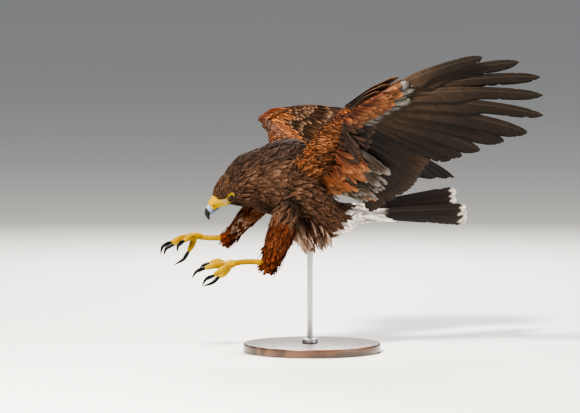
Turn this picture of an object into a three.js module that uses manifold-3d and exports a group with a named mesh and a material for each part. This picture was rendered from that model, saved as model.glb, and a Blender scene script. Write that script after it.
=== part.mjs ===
// Harris hawk coming in to land with raised wings, life size, on a plain display stand.
// Millimetres, +Z up. The bird heads towards -X, its left side is towards -Y, and the
// origin is the middle of the underside of the stand's base.
import * as THREE from 'three';
import Module from 'manifold-3d';
import { mergeVertices } from 'three/addons/utils/BufferGeometryUtils.js';

const wasm = await Module();
wasm.setup();

// Gap kept between neighbouring pieces
const GAP = 0.3;

// Stand
const BASE_RADIUS = 125;
const BASE_HEIGHT = 16;
const ROD_RADIUS = 5;
const ROD_X = -4;
const ROD_TOP = 262;
const COLLAR_RADIUS = 14;
const COLLAR_HEIGHT = 8;

// Sections of the torso from the neck to the tail root: x, y, z, half height, half width
const TORSO = [
  [-124, 0, 312, 40, 34],
  [-108, 0, 315, 56, 48],
  [-82, 0, 318, 67, 57],
  [-50, 0, 315, 76, 63],
  [-22, 0, 306, 79, 63],
  [5, 0, 274, 60, 57],
  [30, 0, 246, 41, 46],
  [58, 0, 241, 32, 35],
  [82, 0, 246, 23, 25],
  [92, 0, 248, 14, 15],
];

// Sections of the neck from the torso to the back of the head, in the same order
const NECK = [
  [-104, 0, 318, 46, 40],
  [-122, 0, 318, 51, 44],
  [-138, 0, 316, 49, 41],
  [-152, 0, 312, 43, 36],
  [-164, 0, 307, 35, 31],
  [-172, 0, 302, 22, 20],
];

// Head: the point midway between the eyes, and its bow, turn and roll in degrees
const HEAD_AT = [-175, -2, 296];
const HEAD_BOW = -38;
const HEAD_TURN = -6;
const HEAD_ROLL = 20;

// Sections of the skull from the nape to the face, in the head's own frame, bill towards -X
const SKULL = [
  [36, 0, -8, 18, 18],
  [29, 0, -6, 26, 26],
  [18, 0, -2, 29, 28],
  [6, 0, -1, 27, 24.5],
  [-6, 0, -1.5, 23, 20.5],
  [-16, 0, -3, 18, 16.5],
  [-24, 0, -5, 13, 12],
  [-29, 0, -6, 7, 6],
];
const BROW = [
  [8, 19, 6, 2, 2],
  [2, 20.5, 8, 3, 3.4],
  [-6, 18.5, 7, 3, 3.6],
  [-14, 14, 4, 2.4, 2.6],
  [-18, 11, 2, 1, 1],
];
const EYE_OUT = 16.2;
const EYE_RADIUS = 7.4;
const LID_RING = 6.2;
const LID_THICK = 1.3;
const CERE = [
  [-17, 0, -4, 8, 7],
  [-23, 0, -3, 11.6, 10],
  [-29, 0, -3.2, 10.6, 8.8],
  [-35, 0, -4.2, 9.2, 7.4],
  [-37, 0, -4.6, 7.4, 6],
];
const GAPE = [
  [-29, 4, -8.5, 2.4, 2.6],
  [-21, 9.4, -11.6, 2.4, 2.6],
  [-12, 14, -12.6, 2.2, 2.4],
  [-5, 16.5, -13, 1.6, 1.8],
  [-3, 17, -13.2, 0.6, 0.6],
];
const NOSTRIL_AT = [-32, 8, -1.5];
const NOSTRIL_RADIUS = 1.5;
const HOOK = [
  [-34, 0, -5, 6, 5],
  [-38, 0, -5.4, 8, 6.4],
  [-43, 0, -7.6, 7.4, 5.4],
  [-47.5, 0, -11.6, 6, 4],
  [-50, 0, -16.6, 3.8, 2.4],
  [-50.6, 0, -21.6, 1.8, 1.2],
  [-50, 0, -25, 0.5, 0.5],
];
const LOWER_BILL = [
  [-16, 0, -15, 2.6, 5],
  [-22, 0, -16, 3, 7],
  [-30, 0, -16.2, 2.8, 6],
  [-38, 0, -15.8, 2.2, 4.4],
  [-43, 0, -15.2, 1, 2],
];

// Tail: twelve feathers, six to a side, folded into an upright trough
const TAIL_ROOT = [74, 0, 247];
const TAIL_LENGTH = 228;
const TAIL_SWING = -14;
const TAIL_DROP = 23;
const TAIL_SIDES = [
  { side: -1, firstTilt: 16, tiltStep: 9, spread: 12.6, shorten: 4 },
  { side: 1, firstTilt: 38, tiltStep: 9, spread: 12.8, shorten: -2 },
];
const TAIL_STUMP = [
  [68, 0, 249, 8, 9],
  [92, 0, 249, 15, 15],
  [116, 0, 245, 12, 14],
  [138, 0, 241, 4, 7],
];

// Wings, from the body outwards. front is the edge from shoulder to thumb, roots and tips are
// the ends of the feathers: tertials and secondaries on the arm, primaries on the hand.
const WINGS = {
  left: {
    side: -1,
    front: [
      [-62, -22, 312],
      [-70, -48, 334],
      [-57, -85, 380],
      [-41, -130, 424],
      [-27, -165, 448],
      [-15, -186, 463],
      [13, -200, 473],
      [50, -214, 486],
    ],
    arm: {
      roots: [[6, -80, 336], [5, -107, 355], [0, -130, 382], [-6, -155, 410], [-13, -178, 435]],
      tips: [[111, -46, 260], [145, -80, 289], [148, -118, 307], [146, -150, 329], [152, -175, 355]],
    },
    thumb: { root: [-26, -192, 456], tip: [70, -214, 507] },
    hand: {
      roots: [[-7, -181, 440], [9, -192, 451], [27, -204, 467], [47, -212, 483]],
      tips: [
        [185, -192, 356],
        [200, -206, 363],
        [226, -226, 374],
        [262, -250, 391],
        [295, -276, 407],
        [316, -297, 438],
        [311, -305, 474],
        [305, -305, 507],
        [266, -298, 534],
        [199, -285, 543],
      ],
    },
  },
  right: {
    side: 1,
    front: [
      [-62, 22, 312],
      [-66, 46, 338],
      [-52, 80, 384],
      [-39, 115, 404],
      [-30, 150, 411],
      [-19, 176, 416],
      [20, 194, 432],
      [79, 198, 436],
    ],
    arm: {
      roots: [[22, 70, 344], [26, 92, 358], [14, 124, 376], [2, 152, 392], [-4, 172, 404]],
      tips: [[112, 54, 300], [142, 72, 298], [166, 86, 300], [187, 96, 303], [205, 101, 306]],
    },
    thumb: { root: [-14, 184, 418], tip: [80, 208, 437] },
    hand: {
      roots: [[2, 178, 409], [24, 188, 416], [48, 194, 424], [74, 197, 432]],
      tips: [
        [216, 102, 308],
        [234, 98, 309],
        [252, 94, 309],
        [273, 91, 309],
        [298, 89, 306],
        [322, 90, 303],
        [338, 94, 304],
        [331, 108, 339],
        [306, 128, 373],
        [268, 150, 396],
      ],
    },
  },
};

// Legs, thrust forward: sections are x, y, z, half height, half width
const LEGS = {
  left: {
    thigh: [
      [-58, -42, 276, 24, 18],
      [-76, -54, 250, 30, 23],
      [-91, -62, 222, 29, 23],
      [-104, -67, 197, 25, 20],
      [-115, -70, 174, 19, 16],
      [-121, -71, 157, 9, 8],
    ],
    tarsus: [
      [-112, -70, 164, 6, 6],
      [-132, -71, 172, 5.4, 5],
      [-152, -72, 175, 4.8, 4.2],
      [-172, -72.5, 175, 4.8, 4.2],
      [-192, -73, 173, 5, 5],
    ],
    palm: [
      [-184, -73, 174, 5, 6],
      [-193, -73, 173, 7.6, 9],
      [-204, -73, 170, 7.4, 10],
      [-213, -73, 167, 4, 6],
    ],
    toes: {
      inner: [[-204, -67, 172], [-214, -56, 176], [-226, -50, 173], [-236, -46, 166], [-243, -44, 156]],
      middle: [[-206, -74, 170], [-226, -75, 171], [-247, -76, 167], [-261, -76, 160], [-272, -76, 150]],
      outer: [[-204, -80, 169], [-222, -91, 163], [-240, -99, 155], [-254, -102, 148], [-264, -103, 138]],
      hind: [[-198, -72, 166], [-206, -71, 157], [-217, -70, 150], [-232, -70, 141], [-250, -70, 134]],
    },
  },
  right: {
    thigh: [
      [-66, 40, 290, 18, 16],
      [-84, 48, 268, 21, 18],
      [-103, 57, 246, 19, 17],
      [-119, 64, 226, 16, 15],
      [-131, 69, 211, 13, 12],
      [-138, 71, 200, 6, 6],
    ],
    tarsus: [
      [-130, 69, 208, 6, 6],
      [-143, 71, 208, 5.4, 5],
      [-160, 72, 208, 4.8, 4.2],
      [-178, 73, 209, 4.8, 4.2],
      [-196, 74, 212, 5, 5],
    ],
    palm: [
      [-188, 73, 211, 5, 6],
      [-197, 74, 213, 7.6, 9],
      [-208, 74, 211, 7.4, 10],
      [-217, 74, 208, 4, 6],
    ],
    toes: {
      inner: [[-208, 68, 212], [-219, 59, 211], [-230, 55, 206], [-240, 52, 197], [-245, 51, 186]],
      middle: [[-210, 74, 211], [-228, 74, 209], [-247, 74, 203], [-260, 74, 194], [-268, 74, 182]],
      outer: [[-208, 81, 210], [-220, 90, 204], [-232, 96, 197], [-243, 99, 188], [-250, 100, 177]],
      hind: [[-202, 74, 206], [-206, 74, 196], [-213, 74, 185], [-226, 74, 172], [-243, 74, 161]],
    },
  },
};

// Half height and half width along a toe and along a claw
const TOE_SIZES = [[6, 6], [5.4, 5.2], [5.6, 5], [4.6, 4.2], [3, 2.8]];
const CLAW_SIZES = [[2.6, 2.4], [3.4, 2.8], [2.6, 2], [1.4, 1.2], [0.4, 0.4]];

// Feather thickness, and outlines as rows of t, leading width and trailing width, t running
// from root to tip
const VANE_ROOT = 1;
const VANE_TIP = 0.6;
const VENT_LENGTH = 58;
const VENT = [[0, 4, 4], [0.55, 10, 10], [1, 2, 2]];
const RECTRIX = [[0, 2, 2], [0.3, 7, 13], [0.93, 11, 22], [1, 6, 12]];
const TAIL_COVERT = [[0, 3, 3], [0.7, 11, 11], [1, 3, 3]];
const TAIL_LAYER = 1.9;
const TAIL_ROOT_STEP = 2.6;
const TAIL_ROOT_LAYER = 0.8;

// Wing feathers are numbered from the innermost tertial outwards: three tertials, ten
// secondaries and ten primaries. Neighbours lie LOUVRE apart in height, like slats.
const LAST_ARM = 12;
const FIRST_HAND = 13;
const LAST_FEATHER = 22;
const FIRST_FINGER = 18;
const LOUVRE = 2.5;
const STEEPEST = 0.4;
const OVERLAP = 1.3;
const NEIGHBOURS = 4;
const SWEEP = 0.03;
const CAMBER = 0.03;
const PRIMARY = [[0, 2.5, 2.5], [0.3, 7, 22], [0.82, 8, 22], [1, 2, 4]];
const SECONDARY = [[0, 2.5, 2.5], [0.35, 9, 19], [0.88, 9, 18], [1, 4, 6]];
const FINGER_NOTCHES = [0.62, 0.56, 0.47, 0.42, 0.4];
const COVERT = [[0, 3, 3.5], [0.72, 9.5, 11], [1, 3, 4]];
const THUMB = [[0, 3, 3], [0.5, 6, 11], [0.85, 5, 9], [1, 1.5, 2]];

// Tiers of coverts: every how many feathers, height over the shafts at the root and at the
// tip, where along the flight feather they start, and their length in its lengths
const COVERT_TIERS = [
  { every: 2, low: 3, high: 4.8, start: -0.05, arm: 0.46, hand: 0.36 },
  { every: 2.8, low: -3, high: -6.8, start: -0.05, arm: 0.42, hand: 0.32 },
  { every: 4, low: 5, high: 8, start: -0.1, arm: 0.3, hand: 0.24 },
  { every: 4, low: -3, high: -10, start: -0.1, arm: 0.28, hand: 0.22 },
];

// Half depths of the fleshy arm and hand, from the shoulder outwards
const ARM_DEPTHS = [14, 15, 13, 11, 10, 9];
const HAND_DEPTHS = [9, 9, 8, 6];

const Z_AXIS = new THREE.Vector3(0, 0, 1);
const vector = (row) => new THREE.Vector3(row[0], row[1], row[2]);
const { clamp } = THREE.MathUtils;
const blend = (a, b, t) => a + (b - a) * t;

// Smooth values between rows of numbers, with t from 0 at the first row to 1 at the last.
function smooth(rows) {
  const row = (k) => rows[clamp(k, 0, rows.length - 1)];
  return (t) => {
    const s = clamp(t, 0, 1) * (rows.length - 1);
    const i = Math.min(Math.floor(s), rows.length - 2);
    const w = s - i;
    return rows[i].map((value, c) => {
      const [before, next, after] = [row(i - 1)[c], row(i + 1)[c], row(i + 2)[c]];
      const leave = (next - before) / 2;
      const reach = (after - value) / 2;
      const bend = 3 * (next - value) - 2 * leave - reach;
      return value + w * (leave + w * (bend + w * (leave + reach - 2 * (next - value))));
    });
  };
}

// Turns every triangle outwards if the closed mesh has them facing in.
function outward(geometry) {
  const at = geometry.attributes.position;
  const index = geometry.index.array;
  const [a, b, c] = [0, 1, 2].map(() => new THREE.Vector3());
  let volume = 0;
  for (let i = 0; i < index.length; i += 3) {
    a.fromBufferAttribute(at, index[i]);
    b.fromBufferAttribute(at, index[i + 1]);
    c.fromBufferAttribute(at, index[i + 2]);
    volume += a.dot(b.cross(c));
  }
  for (let i = 0; volume < 0 && i < index.length; i += 3) {
    [index[i], index[i + 1]] = [index[i + 1], index[i]];
  }
  return geometry;
}

function merged(geometry) {
  geometry.deleteAttribute('normal');
  geometry.deleteAttribute('uv');
  return mergeVertices(geometry, 1e-4);
}

function solidOf(geometry) {
  const mesh = new wasm.Mesh({
    numProp: 3,
    vertProperties: new Float32Array(geometry.attributes.position.array),
    triVerts: new Uint32Array(geometry.index.array),
  });
  return new wasm.Manifold(mesh);
}

const join = (solids) => solids.reduce((whole, piece) => whole.add(piece));
const cut = (solid, ...tools) => tools.reduce((rest, tool) => rest.subtract(tool), solid);

// The biggest closed surface of a solid, as a three.js geometry.
function biggest(solid) {
  const pieces = solid.decompose();
  const main = pieces.reduce((best, piece) => (piece.volume() > best.volume() ? piece : best));
  const { vertProperties, triVerts } = main.getMesh();
  const geometry = new THREE.BufferGeometry();
  geometry.setAttribute('position', new THREE.BufferAttribute(vertProperties, 3));
  geometry.setIndex(new THREE.BufferAttribute(triVerts, 1));
  return geometry;
}

// A ball whose points are moved by place(t, across, over), t running from pole to pole and
// across and over round each ring; both are 0 at the poles.
function pulledBall(around, rows, place) {
  const ball = merged(new THREE.SphereGeometry(1, around, rows));
  const at = ball.attributes.position;
  for (let i = 0; i < at.count; i++) {
    const p = new THREE.Vector3().fromBufferAttribute(at, i);
    const t = Math.acos(clamp(p.y, -1, 1)) / Math.PI;
    const ring = Math.hypot(p.x, p.z);
    const onAxis = ring < 1e-4;
    const moved = place(t, onAxis ? 0 : p.x / ring, onAxis ? 0 : p.z / ring);
    at.setXYZ(i, moved.x, moved.y, moved.z);
  }
  return outward(ball);
}

// Moves every point of a shape outwards by grow.
function swollen(geometry, grow) {
  if (grow === 0) return geometry;
  geometry.computeVertexNormals();
  const { position, normal } = geometry.attributes;
  for (let i = 0; i < position.count; i++) {
    const p = new THREE.Vector3().fromBufferAttribute(position, i);
    p.addScaledVector(new THREE.Vector3().fromBufferAttribute(normal, i), grow);
    position.setXYZ(i, p.x, p.y, p.z);
  }
  return geometry;
}

// A round body through sections, swollen all over by grow.
function roundBody(sections, { around, rows, upright = false, grow = 0 }) {
  const section = smooth(sections);
  const step = 0.01;
  const ball = pulledBall(around, rows, (t, across, over) => {
    const [x, y, z, tall, wide] = section(t);
    const ahead = vector(section(t + step)).sub(vector(section(t - step))).normalize();
    if (upright) ahead.set(Math.sign(ahead.x), 0, 0);
    const side = Z_AXIS.clone().cross(ahead).normalize();
    const top = ahead.clone().cross(side);
    const moved = new THREE.Vector3(x, y, z).addScaledVector(side, across * wide);
    return moved.addScaledVector(top, over * tall);
  });
  return solidOf(swollen(ball, grow));
}

// A flat body between a front edge and a rear edge.
function sheetBody(front, rear, thick, { around, rows, grow = 0 }) {
  const [fore, aft, depth] = [smooth(front), smooth(rear), smooth(thick.map((value) => [value]))];
  const step = 0.01;
  const ball = pulledBall(around, rows, (t, across, over) => {
    const [a, b] = [vector(fore(t)), vector(aft(t))];
    const chord = b.clone().sub(a).multiplyScalar(0.5);
    const along = vector(fore(t + step)).sub(vector(fore(t - step)));
    const face = along.cross(chord).normalize();
    const moved = a.add(b).multiplyScalar(0.5);
    moved.addScaledVector(chord, across);
    return moved.addScaledVector(face, over * depth(t)[0]);
  });
  return solidOf(swollen(ball, grow));
}

function rod(radius, low, high, sides = 14) {
  const shape = merged(new THREE.CylinderGeometry(radius, radius, high - low, sides));
  shape.rotateX(Math.PI / 2);
  shape.translate(ROD_X, 0, (low + high) / 2);
  return solidOf(shape);
}

// Feathers
const seeded = (seed) => {
  let state = seed;
  return () => {
    state = (state * 16807) % 2147483647;
    return state / 2147483647;
  };
};

// One feather: a closed thin plate with the same triangles above and below. seat(t) gives the
// shaft's place, the way to the leading edge and the way up, t running from root to tip, and
// the widest trailing half that lies clear there. outline rows are t, leading width and
// trailing width. grow makes it wider, longer and thicker on every side.
function vane(seat, outline, grow = 0) {
  const places = [];
  const index = [];
  const quad = (a, b, c, d) => index.push(a, b, c, a, c, d);
  for (const [t, lead, trail] of outline) {
    const { at, fore, up, widest = trail } = seat(t);
    const depth = blend(VANE_ROOT, VANE_TIP, t) / 2 + grow;
    const [outer, inner] = [lead + grow, -Math.min(trail, widest) - grow];
    for (const [width, lift] of [[outer, depth], [inner, depth], [inner, -depth], [outer, -depth]]) {
      const place = at.clone().addScaledVector(fore, width).addScaledVector(up, lift);
      places.push(place.x, place.y, place.z);
    }
  }
  const last = 4 * (outline.length - 1);
  for (let i = 0; i < last; i += 4) {
    quad(i, i + 1, i + 5, i + 4);
    quad(i + 1, i + 2, i + 6, i + 5);
    quad(i + 3, i + 7, i + 6, i + 2);
    quad(i + 3, i, i + 4, i + 7);
  }
  quad(0, 3, 2, 1);
  quad(last, last + 1, last + 2, last + 3);
  const geometry = new THREE.BufferGeometry();
  geometry.setAttribute('position', new THREE.BufferAttribute(new Float32Array(places), 3));
  geometry.setIndex(index);
  return solidOf(outward(geometry));
}

// A straight loose feather between two points, its face turned towards up.
function looseVane(root, tip, up, outline) {
  const along = tip.clone().sub(root);
  const fore = up.clone().cross(along).normalize();
  const face = along.clone().cross(fore).normalize();
  return vane((t) => ({ at: root.clone().addScaledVector(along, t), fore, up: face }), outline);
}

// Colours of each finish
const FINISHES = {
  brown: { color: 0x3a2a22, roughness: 0.85 },
  rufous: { color: 0x7a3a1c, roughness: 0.85 },
  flight: { color: 0x4a3b32, roughness: 0.8 },
  tail: { color: 0x2a2421, roughness: 0.8 },
  yellow: { color: 0xe0a81c, roughness: 0.6 },
  bill: { color: 0x5d6a74, roughness: 0.35 },
  talon: { color: 0x15161a, roughness: 0.25 },
  eye: { color: 0x24140a, roughness: 0.08 },
  wood: { color: 0x2c1c12, roughness: 0.5 },
  steel: { color: 0xb4b6b8, roughness: 0.3, metalness: 1 },
};

const bird = new THREE.Group();

function show(name, solid, finish, parent = bird) {
  const mesh = new THREE.Mesh(biggest(solid), new THREE.MeshStandardMaterial(FINISHES[finish]));
  mesh.name = name;
  parent.add(mesh);
}

// Stand
function standBase() {
  const round = 4;
  const profile = [[0, 0], [BASE_RADIUS, 0], [BASE_RADIUS, BASE_HEIGHT - round]];
  profile.push([BASE_RADIUS - round / 3, BASE_HEIGHT - round / 3], [BASE_RADIUS - round, BASE_HEIGHT]);
  profile.push([0, BASE_HEIGHT]);
  const plate = new THREE.LatheGeometry(profile.map(([r, z]) => new THREE.Vector2(r, z)), 24);
  plate.rotateX(Math.PI / 2);
  return solidOf(outward(merged(plate)));
}

function stand() {
  const foot = BASE_HEIGHT + GAP;
  show('stand_base', standBase(), 'wood');
  show('stand_rod', rod(ROD_RADIUS, foot, ROD_TOP), 'steel');
  const collar = rod(COLLAR_RADIUS, foot, foot + COLLAR_HEIGHT);
  show('stand_collar', cut(collar, rod(ROD_RADIUS + GAP, 0, ROD_TOP)), 'steel');
}

// Torso, neck and head
const torsoBody = (grow = 0) => roundBody(TORSO, { around: 20, rows: 15, upright: true, grow });
const neckBody = (grow = 0) => roundBody(NECK, { around: 16, rows: 9, upright: true, grow });
const skullBody = (grow = 0) => roundBody(SKULL, { around: 18, rows: 13, upright: true, grow });

function headTurn() {
  const turn = new THREE.Euler();
  const [roll, bow, swing] = [HEAD_ROLL, HEAD_BOW, HEAD_TURN].map(THREE.MathUtils.degToRad);
  return turn.set(roll, bow, swing, 'ZYX');
}

function headMatrix() {
  const turn = new THREE.Quaternion().setFromEuler(headTurn());
  return new THREE.Matrix4().compose(vector(HEAD_AT), turn, new THREE.Vector3(1, 1, 1));
}

const mirrored = (rows) => rows.map(([x, y, ...rest]) => [x, -y, ...rest]);

function ballAt(place, radius, around, rows) {
  const ball = merged(new THREE.SphereGeometry(radius, around, rows));
  ball.translate(...place);
  return solidOf(ball);
}

function lidRing(side) {
  const ring = merged(new THREE.TorusGeometry(LID_RING, LID_THICK, 5, 12));
  ring.rotateX(Math.PI / 2);
  ring.translate(0, side * (EYE_OUT + 4.6), 0);
  return solidOf(outward(ring));
}

function head() {
  const group = new THREE.Group();
  group.position.copy(vector(HEAD_AT));
  group.rotation.copy(headTurn());
  bird.add(group);

  const brows = [BROW, mirrored(BROW)].map((rows) => roundBody(rows, { around: 6, rows: 6 }));
  const lids = [-1, 1].map(lidRing);
  const sockets = [-1, 1].map((side) => ballAt([0, side * EYE_OUT, 0], EYE_RADIUS + GAP, 12, 8));
  const gape = (rows, grow) => roundBody(rows, { around: 6, rows: 7, grow });
  const gapes = (grow) => [gape(GAPE, grow), gape(mirrored(GAPE), grow)];
  const cereBody = (grow) => roundBody(CERE, { around: 12, rows: 6, upright: true, grow });
  const cere = (grow) => join([cereBody(grow), ...gapes(grow)]);
  const hook = (grow) => roundBody(HOOK, { around: 11, rows: 11, grow });
  const lower = (grow) => roundBody(LOWER_BILL, { around: 10, rows: 6, grow });
  const nostrils = [-1, 1].map((side) => {
    const [x, y, z] = NOSTRIL_AT;
    return ballAt([x, side * y, z], NOSTRIL_RADIUS, 6, 5);
  });

  const skull = join([skullBody(), ...brows, ...lids]);
  show('head', cut(skull, ...sockets, cere(GAP), lower(GAP)), 'brown', group);
  show('cere', cut(cere(0), hook(GAP), lower(GAP), ...nostrils, ...sockets), 'yellow', group);
  show('bill_upper', cut(hook(0), lower(GAP)), 'bill', group);
  show('bill_lower', lower(0), 'bill', group);
  show('eye_left', ballAt([0, -EYE_OUT, 0], EYE_RADIUS, 12, 8), 'eye', group);
  show('eye_right', ballAt([0, EYE_OUT, 0], EYE_RADIUS, 12, 8), 'eye', group);
}

// Loose feathers of the flanks and vent, hanging behind the thighs
function ventFeathers() {
  const draw = seeded(11);
  const up = new THREE.Vector3(0.9, 0, 0.45);
  const list = [];
  for (let row = 0; row < 3; row++) {
    for (let col = -1; col <= 1; col++) {
      const root = new THREE.Vector3(-31 + 18 * row, 22 * col, 236 - 4 * row);
      const drop = VENT_LENGTH * (0.85 + 0.3 * draw()) - 5 * row;
      const tip = root.clone().add(new THREE.Vector3(0.42 * drop, 5 * col, -0.9 * drop));
      list.push(looseVane(root, tip, up, VENT));
    }
  }
  return list;
}

function body() {
  const socket = rod(ROD_RADIUS + GAP, 0, ROD_TOP + GAP);
  const skull = skullBody(GAP).transform(headMatrix().elements);
  show('torso', cut(join([torsoBody(), ...ventFeathers()]), socket), 'brown');
  show('neck', cut(neckBody(), torsoBody(GAP), skull), 'brown');
}

// Tail feathers are numbered from the middle pair outwards, each lying under the one before.
const tailStep = ({ spread }, reach) => blend(TAIL_ROOT_STEP, spread, reach);

function tailSeat(half, place, reach, lift) {
  const { side, firstTilt, tiltStep } = half;
  const step = tailStep(half, reach);
  const whole = Math.floor(place);
  let [across, rise] = [0, 0];
  for (let k = 0; k <= whole; k++) {
    const share = k === whole ? place - whole + 0.5 : 1;
    const tilt = THREE.MathUtils.degToRad(firstTilt + tiltStep * k);
    across += share * step * Math.cos(tilt);
    rise += share * step * Math.sin(tilt);
  }
  const tilt = THREE.MathUtils.degToRad(firstTilt + tiltStep * place);
  const up = new THREE.Vector3(0, -side * Math.sin(tilt), Math.cos(tilt));
  const aside = side * across + reach * TAIL_SWING;
  const shift = new THREE.Vector3(reach * TAIL_LENGTH, aside, rise - reach * TAIL_DROP);
  const at = vector(TAIL_ROOT).add(shift);
  at.addScaledVector(up, lift - blend(TAIL_ROOT_LAYER, TAIL_LAYER, reach) * place);
  return { at, fore: new THREE.Vector3(0, side * Math.cos(tilt), Math.sin(tilt)), up };
}

function tail() {
  const feathers = [];
  const draw = seeded(7);
  for (const half of TAIL_SIDES) {
    for (let j = 0; j < 6; j++) {
      const length = 1 - (half.shorten * j) / TAIL_LENGTH - 0.015 * draw();
      const inner = (t) => (j + 0.5) * tailStep(half, t);
      const outline = RECTRIX.map(([t, lead, trail]) => [t, lead, Math.min(trail, inner(t))]);
      feathers.push(vane((t) => tailSeat(half, j, t * length, 0), outline));
    }
    for (const [lift, first, length] of [[-9, 0.06, 0.3], [6, 0.02, 0.2]]) {
      for (const place of [0.5, 2.2, 3.9]) {
        const reach = length * (1 - 0.2 * draw());
        const seat = (t) => tailSeat(half, place, first + t * reach, lift * (0.35 + 0.65 * t));
        feathers.push(vane(seat, TAIL_COVERT));
      }
    }
  }
  const stump = roundBody(TAIL_STUMP, { around: 12, rows: 7 });
  show('tail', cut(join([stump, ...feathers]), torsoBody(GAP)), 'tail');
}

function fingerOutline(notch) {
  const rows = [[0, 2.5, 2.5], [notch - 0.06, 8, 24], [notch + 0.05, 7, 12]];
  return [...rows, [0.86, 6, 11], [1, 1.5, 2]];
}

function outlineOf(i) {
  if (i >= FIRST_FINGER) return fingerOutline(FINGER_NOTCHES[i - FIRST_FINGER]);
  return i >= FIRST_HAND ? PRIMARY : SECONDARY;
}

// Root and tip of the feather numbered i, which may lie between two feathers.
function quill({ arm, hand }, i) {
  const ends = (set, t) => [vector(smooth(set.roots)(t)), vector(smooth(set.tips)(t))];
  if (i <= LAST_ARM) return ends(arm, i / LAST_ARM);
  if (i >= FIRST_HAND) return ends(hand, (i - FIRST_HAND) / (LAST_FEATHER - FIRST_HAND));
  const [inner, outer] = [ends(arm, 1), ends(hand, 0)];
  return inner.map((end, k) => end.lerp(outer[k], i - LAST_ARM));
}

// Seats along a feather or a covert: reach 0 at the root and 1 at the flight feather's tip.
// The wing's surface is read from the feathers some way to each side, so that it turns slowly.
function wingSeat(wing, i, reach, lift) {
  const [root, tip] = quill(wing, i);
  const along = tip.clone().sub(root);
  const length = along.length();
  const ahead = along.clone().normalize();
  const across = (aside) => {
    const [low, high] = [clamp(i - aside, 0, LAST_FEATHER), clamp(i + aside, 0, LAST_FEATHER)];
    const [inner, outer] = [low, high].map((k) => quill(wing, k)).map(([a, b]) => a.lerp(b, reach));
    return outer.sub(inner).divideScalar(high - low);
  };
  const span = across(NEIGHBOURS);
  const fore = span.addScaledVector(ahead, -span.dot(ahead)).normalize();
  const up = fore.clone().cross(ahead).multiplyScalar(-wing.side);
  const bend = 4 * reach * (1 - reach) * length;
  const at = root.addScaledVector(along, reach);
  at.addScaledVector(fore, SWEEP * bend).addScaledVector(up, CAMBER * bend + lift);
  const apart = across(0.5).length();
  const tilt = Math.min(STEEPEST, LOUVRE / apart);
  return {
    widest: OVERLAP * apart,
    at,
    fore: fore.clone().multiplyScalar(Math.cos(tilt)).addScaledVector(up, Math.sin(tilt)),
    up: up.clone().multiplyScalar(Math.cos(tilt)).addScaledVector(fore, -Math.sin(tilt)),
  };
}

function coverts(wing, first, last, grow = 0) {
  const list = [];
  for (const { every, low, high, start, arm, hand } of COVERT_TIERS) {
    for (let i = first + every / 2; i < last; i += every) {
      const length = i > LAST_ARM ? hand : arm;
      list.push(vane((t) => wingSeat(wing, i, start + t * length, blend(low, high, t)), COVERT, grow));
    }
  }
  return list;
}

function flight(wing, first, last, grow = 0) {
  const list = [];
  for (let i = first; i <= last; i++) {
    list.push(vane((t) => wingSeat(wing, i, t, 0), outlineOf(i), grow));
  }
  return list;
}

// Thumb feathers, a short fan along the front of the hand
function thumbFan({ side, thumb }) {
  const [root, tip] = [vector(thumb.root), vector(thumb.tip)];
  const up = new THREE.Vector3(0.24, -side * 0.6, 0.7);
  return [0, 1, 2].map((k) => {
    const back = new THREE.Vector3(3 * k, side * k, -2 * k).addScaledVector(up, -1.4 * k);
    const shorter = tip.clone().lerp(root, 0.2 * k);
    return looseVane(root.clone().add(back), shorter.add(back), up, THUMB);
  });
}

// Long soft feathers of the wing pit, hanging back between wing and body
function axillars({ side }, front, rear) {
  const up = new THREE.Vector3(0.3, -side * 0.6, 0.7);
  return [0, 1, 2].map((k) => {
    const along = 0.34 + 0.05 * k;
    const root = vector(smooth(front)(along)).lerp(vector(smooth(rear)(along)), 0.55);
    const tip = new THREE.Vector3(26 + 24 * k, side * (60 + 4 * k), 287 - 3 * k);
    return looseVane(root, tip, up, COVERT);
  });
}

const middle = (a, b) => a.map((value, k) => (value + b[k]) / 2);

function wing(name) {
  const parts = WINGS[name];
  const { side, front, arm, hand } = parts;
  const rear = [[-6, side * 24, 318], ...arm.roots, ...hand.roots];
  const wrist = front.length - 3;
  const handFront = [middle(front[wrist - 1], front[wrist]), ...front.slice(wrist)];
  const handRear = [middle(arm.roots[3], arm.roots[4]), ...hand.roots];
  const armFront = front.slice(0, wrist + 1);
  const armRear = rear.slice(0, 6);
  const armBody = sheetBody(armFront, armRear, ARM_DEPTHS, { around: 10, rows: 12 });
  const plumes = (first, last, grow) => [
    sheetBody(handFront, handRear, HAND_DEPTHS, { around: 10, rows: 7, grow }),
    ...flight(parts, first, last, grow),
    ...coverts(parts, first, last, grow),
  ];
  const armFeathers = [...flight(parts, 0, LAST_ARM), ...coverts(parts, 0, LAST_ARM)];
  const armWing = join([armBody, ...armFeathers, ...axillars(parts, armFront, armRear)]);
  const nearHand = join(plumes(FIRST_HAND, FIRST_HAND + 5, GAP));
  show(`wing_${name}`, cut(armWing, torsoBody(GAP), nearHand), 'flight');
  show(`hand_${name}`, join([...plumes(FIRST_HAND, LAST_FEATHER, 0), ...thumbFan(parts)]), 'flight');
}

// Legs
function sized(rows, sizes) {
  const route = smooth(rows);
  return sizes.map((size, i) => [...route(i / (sizes.length - 1)), ...size]);
}

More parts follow.
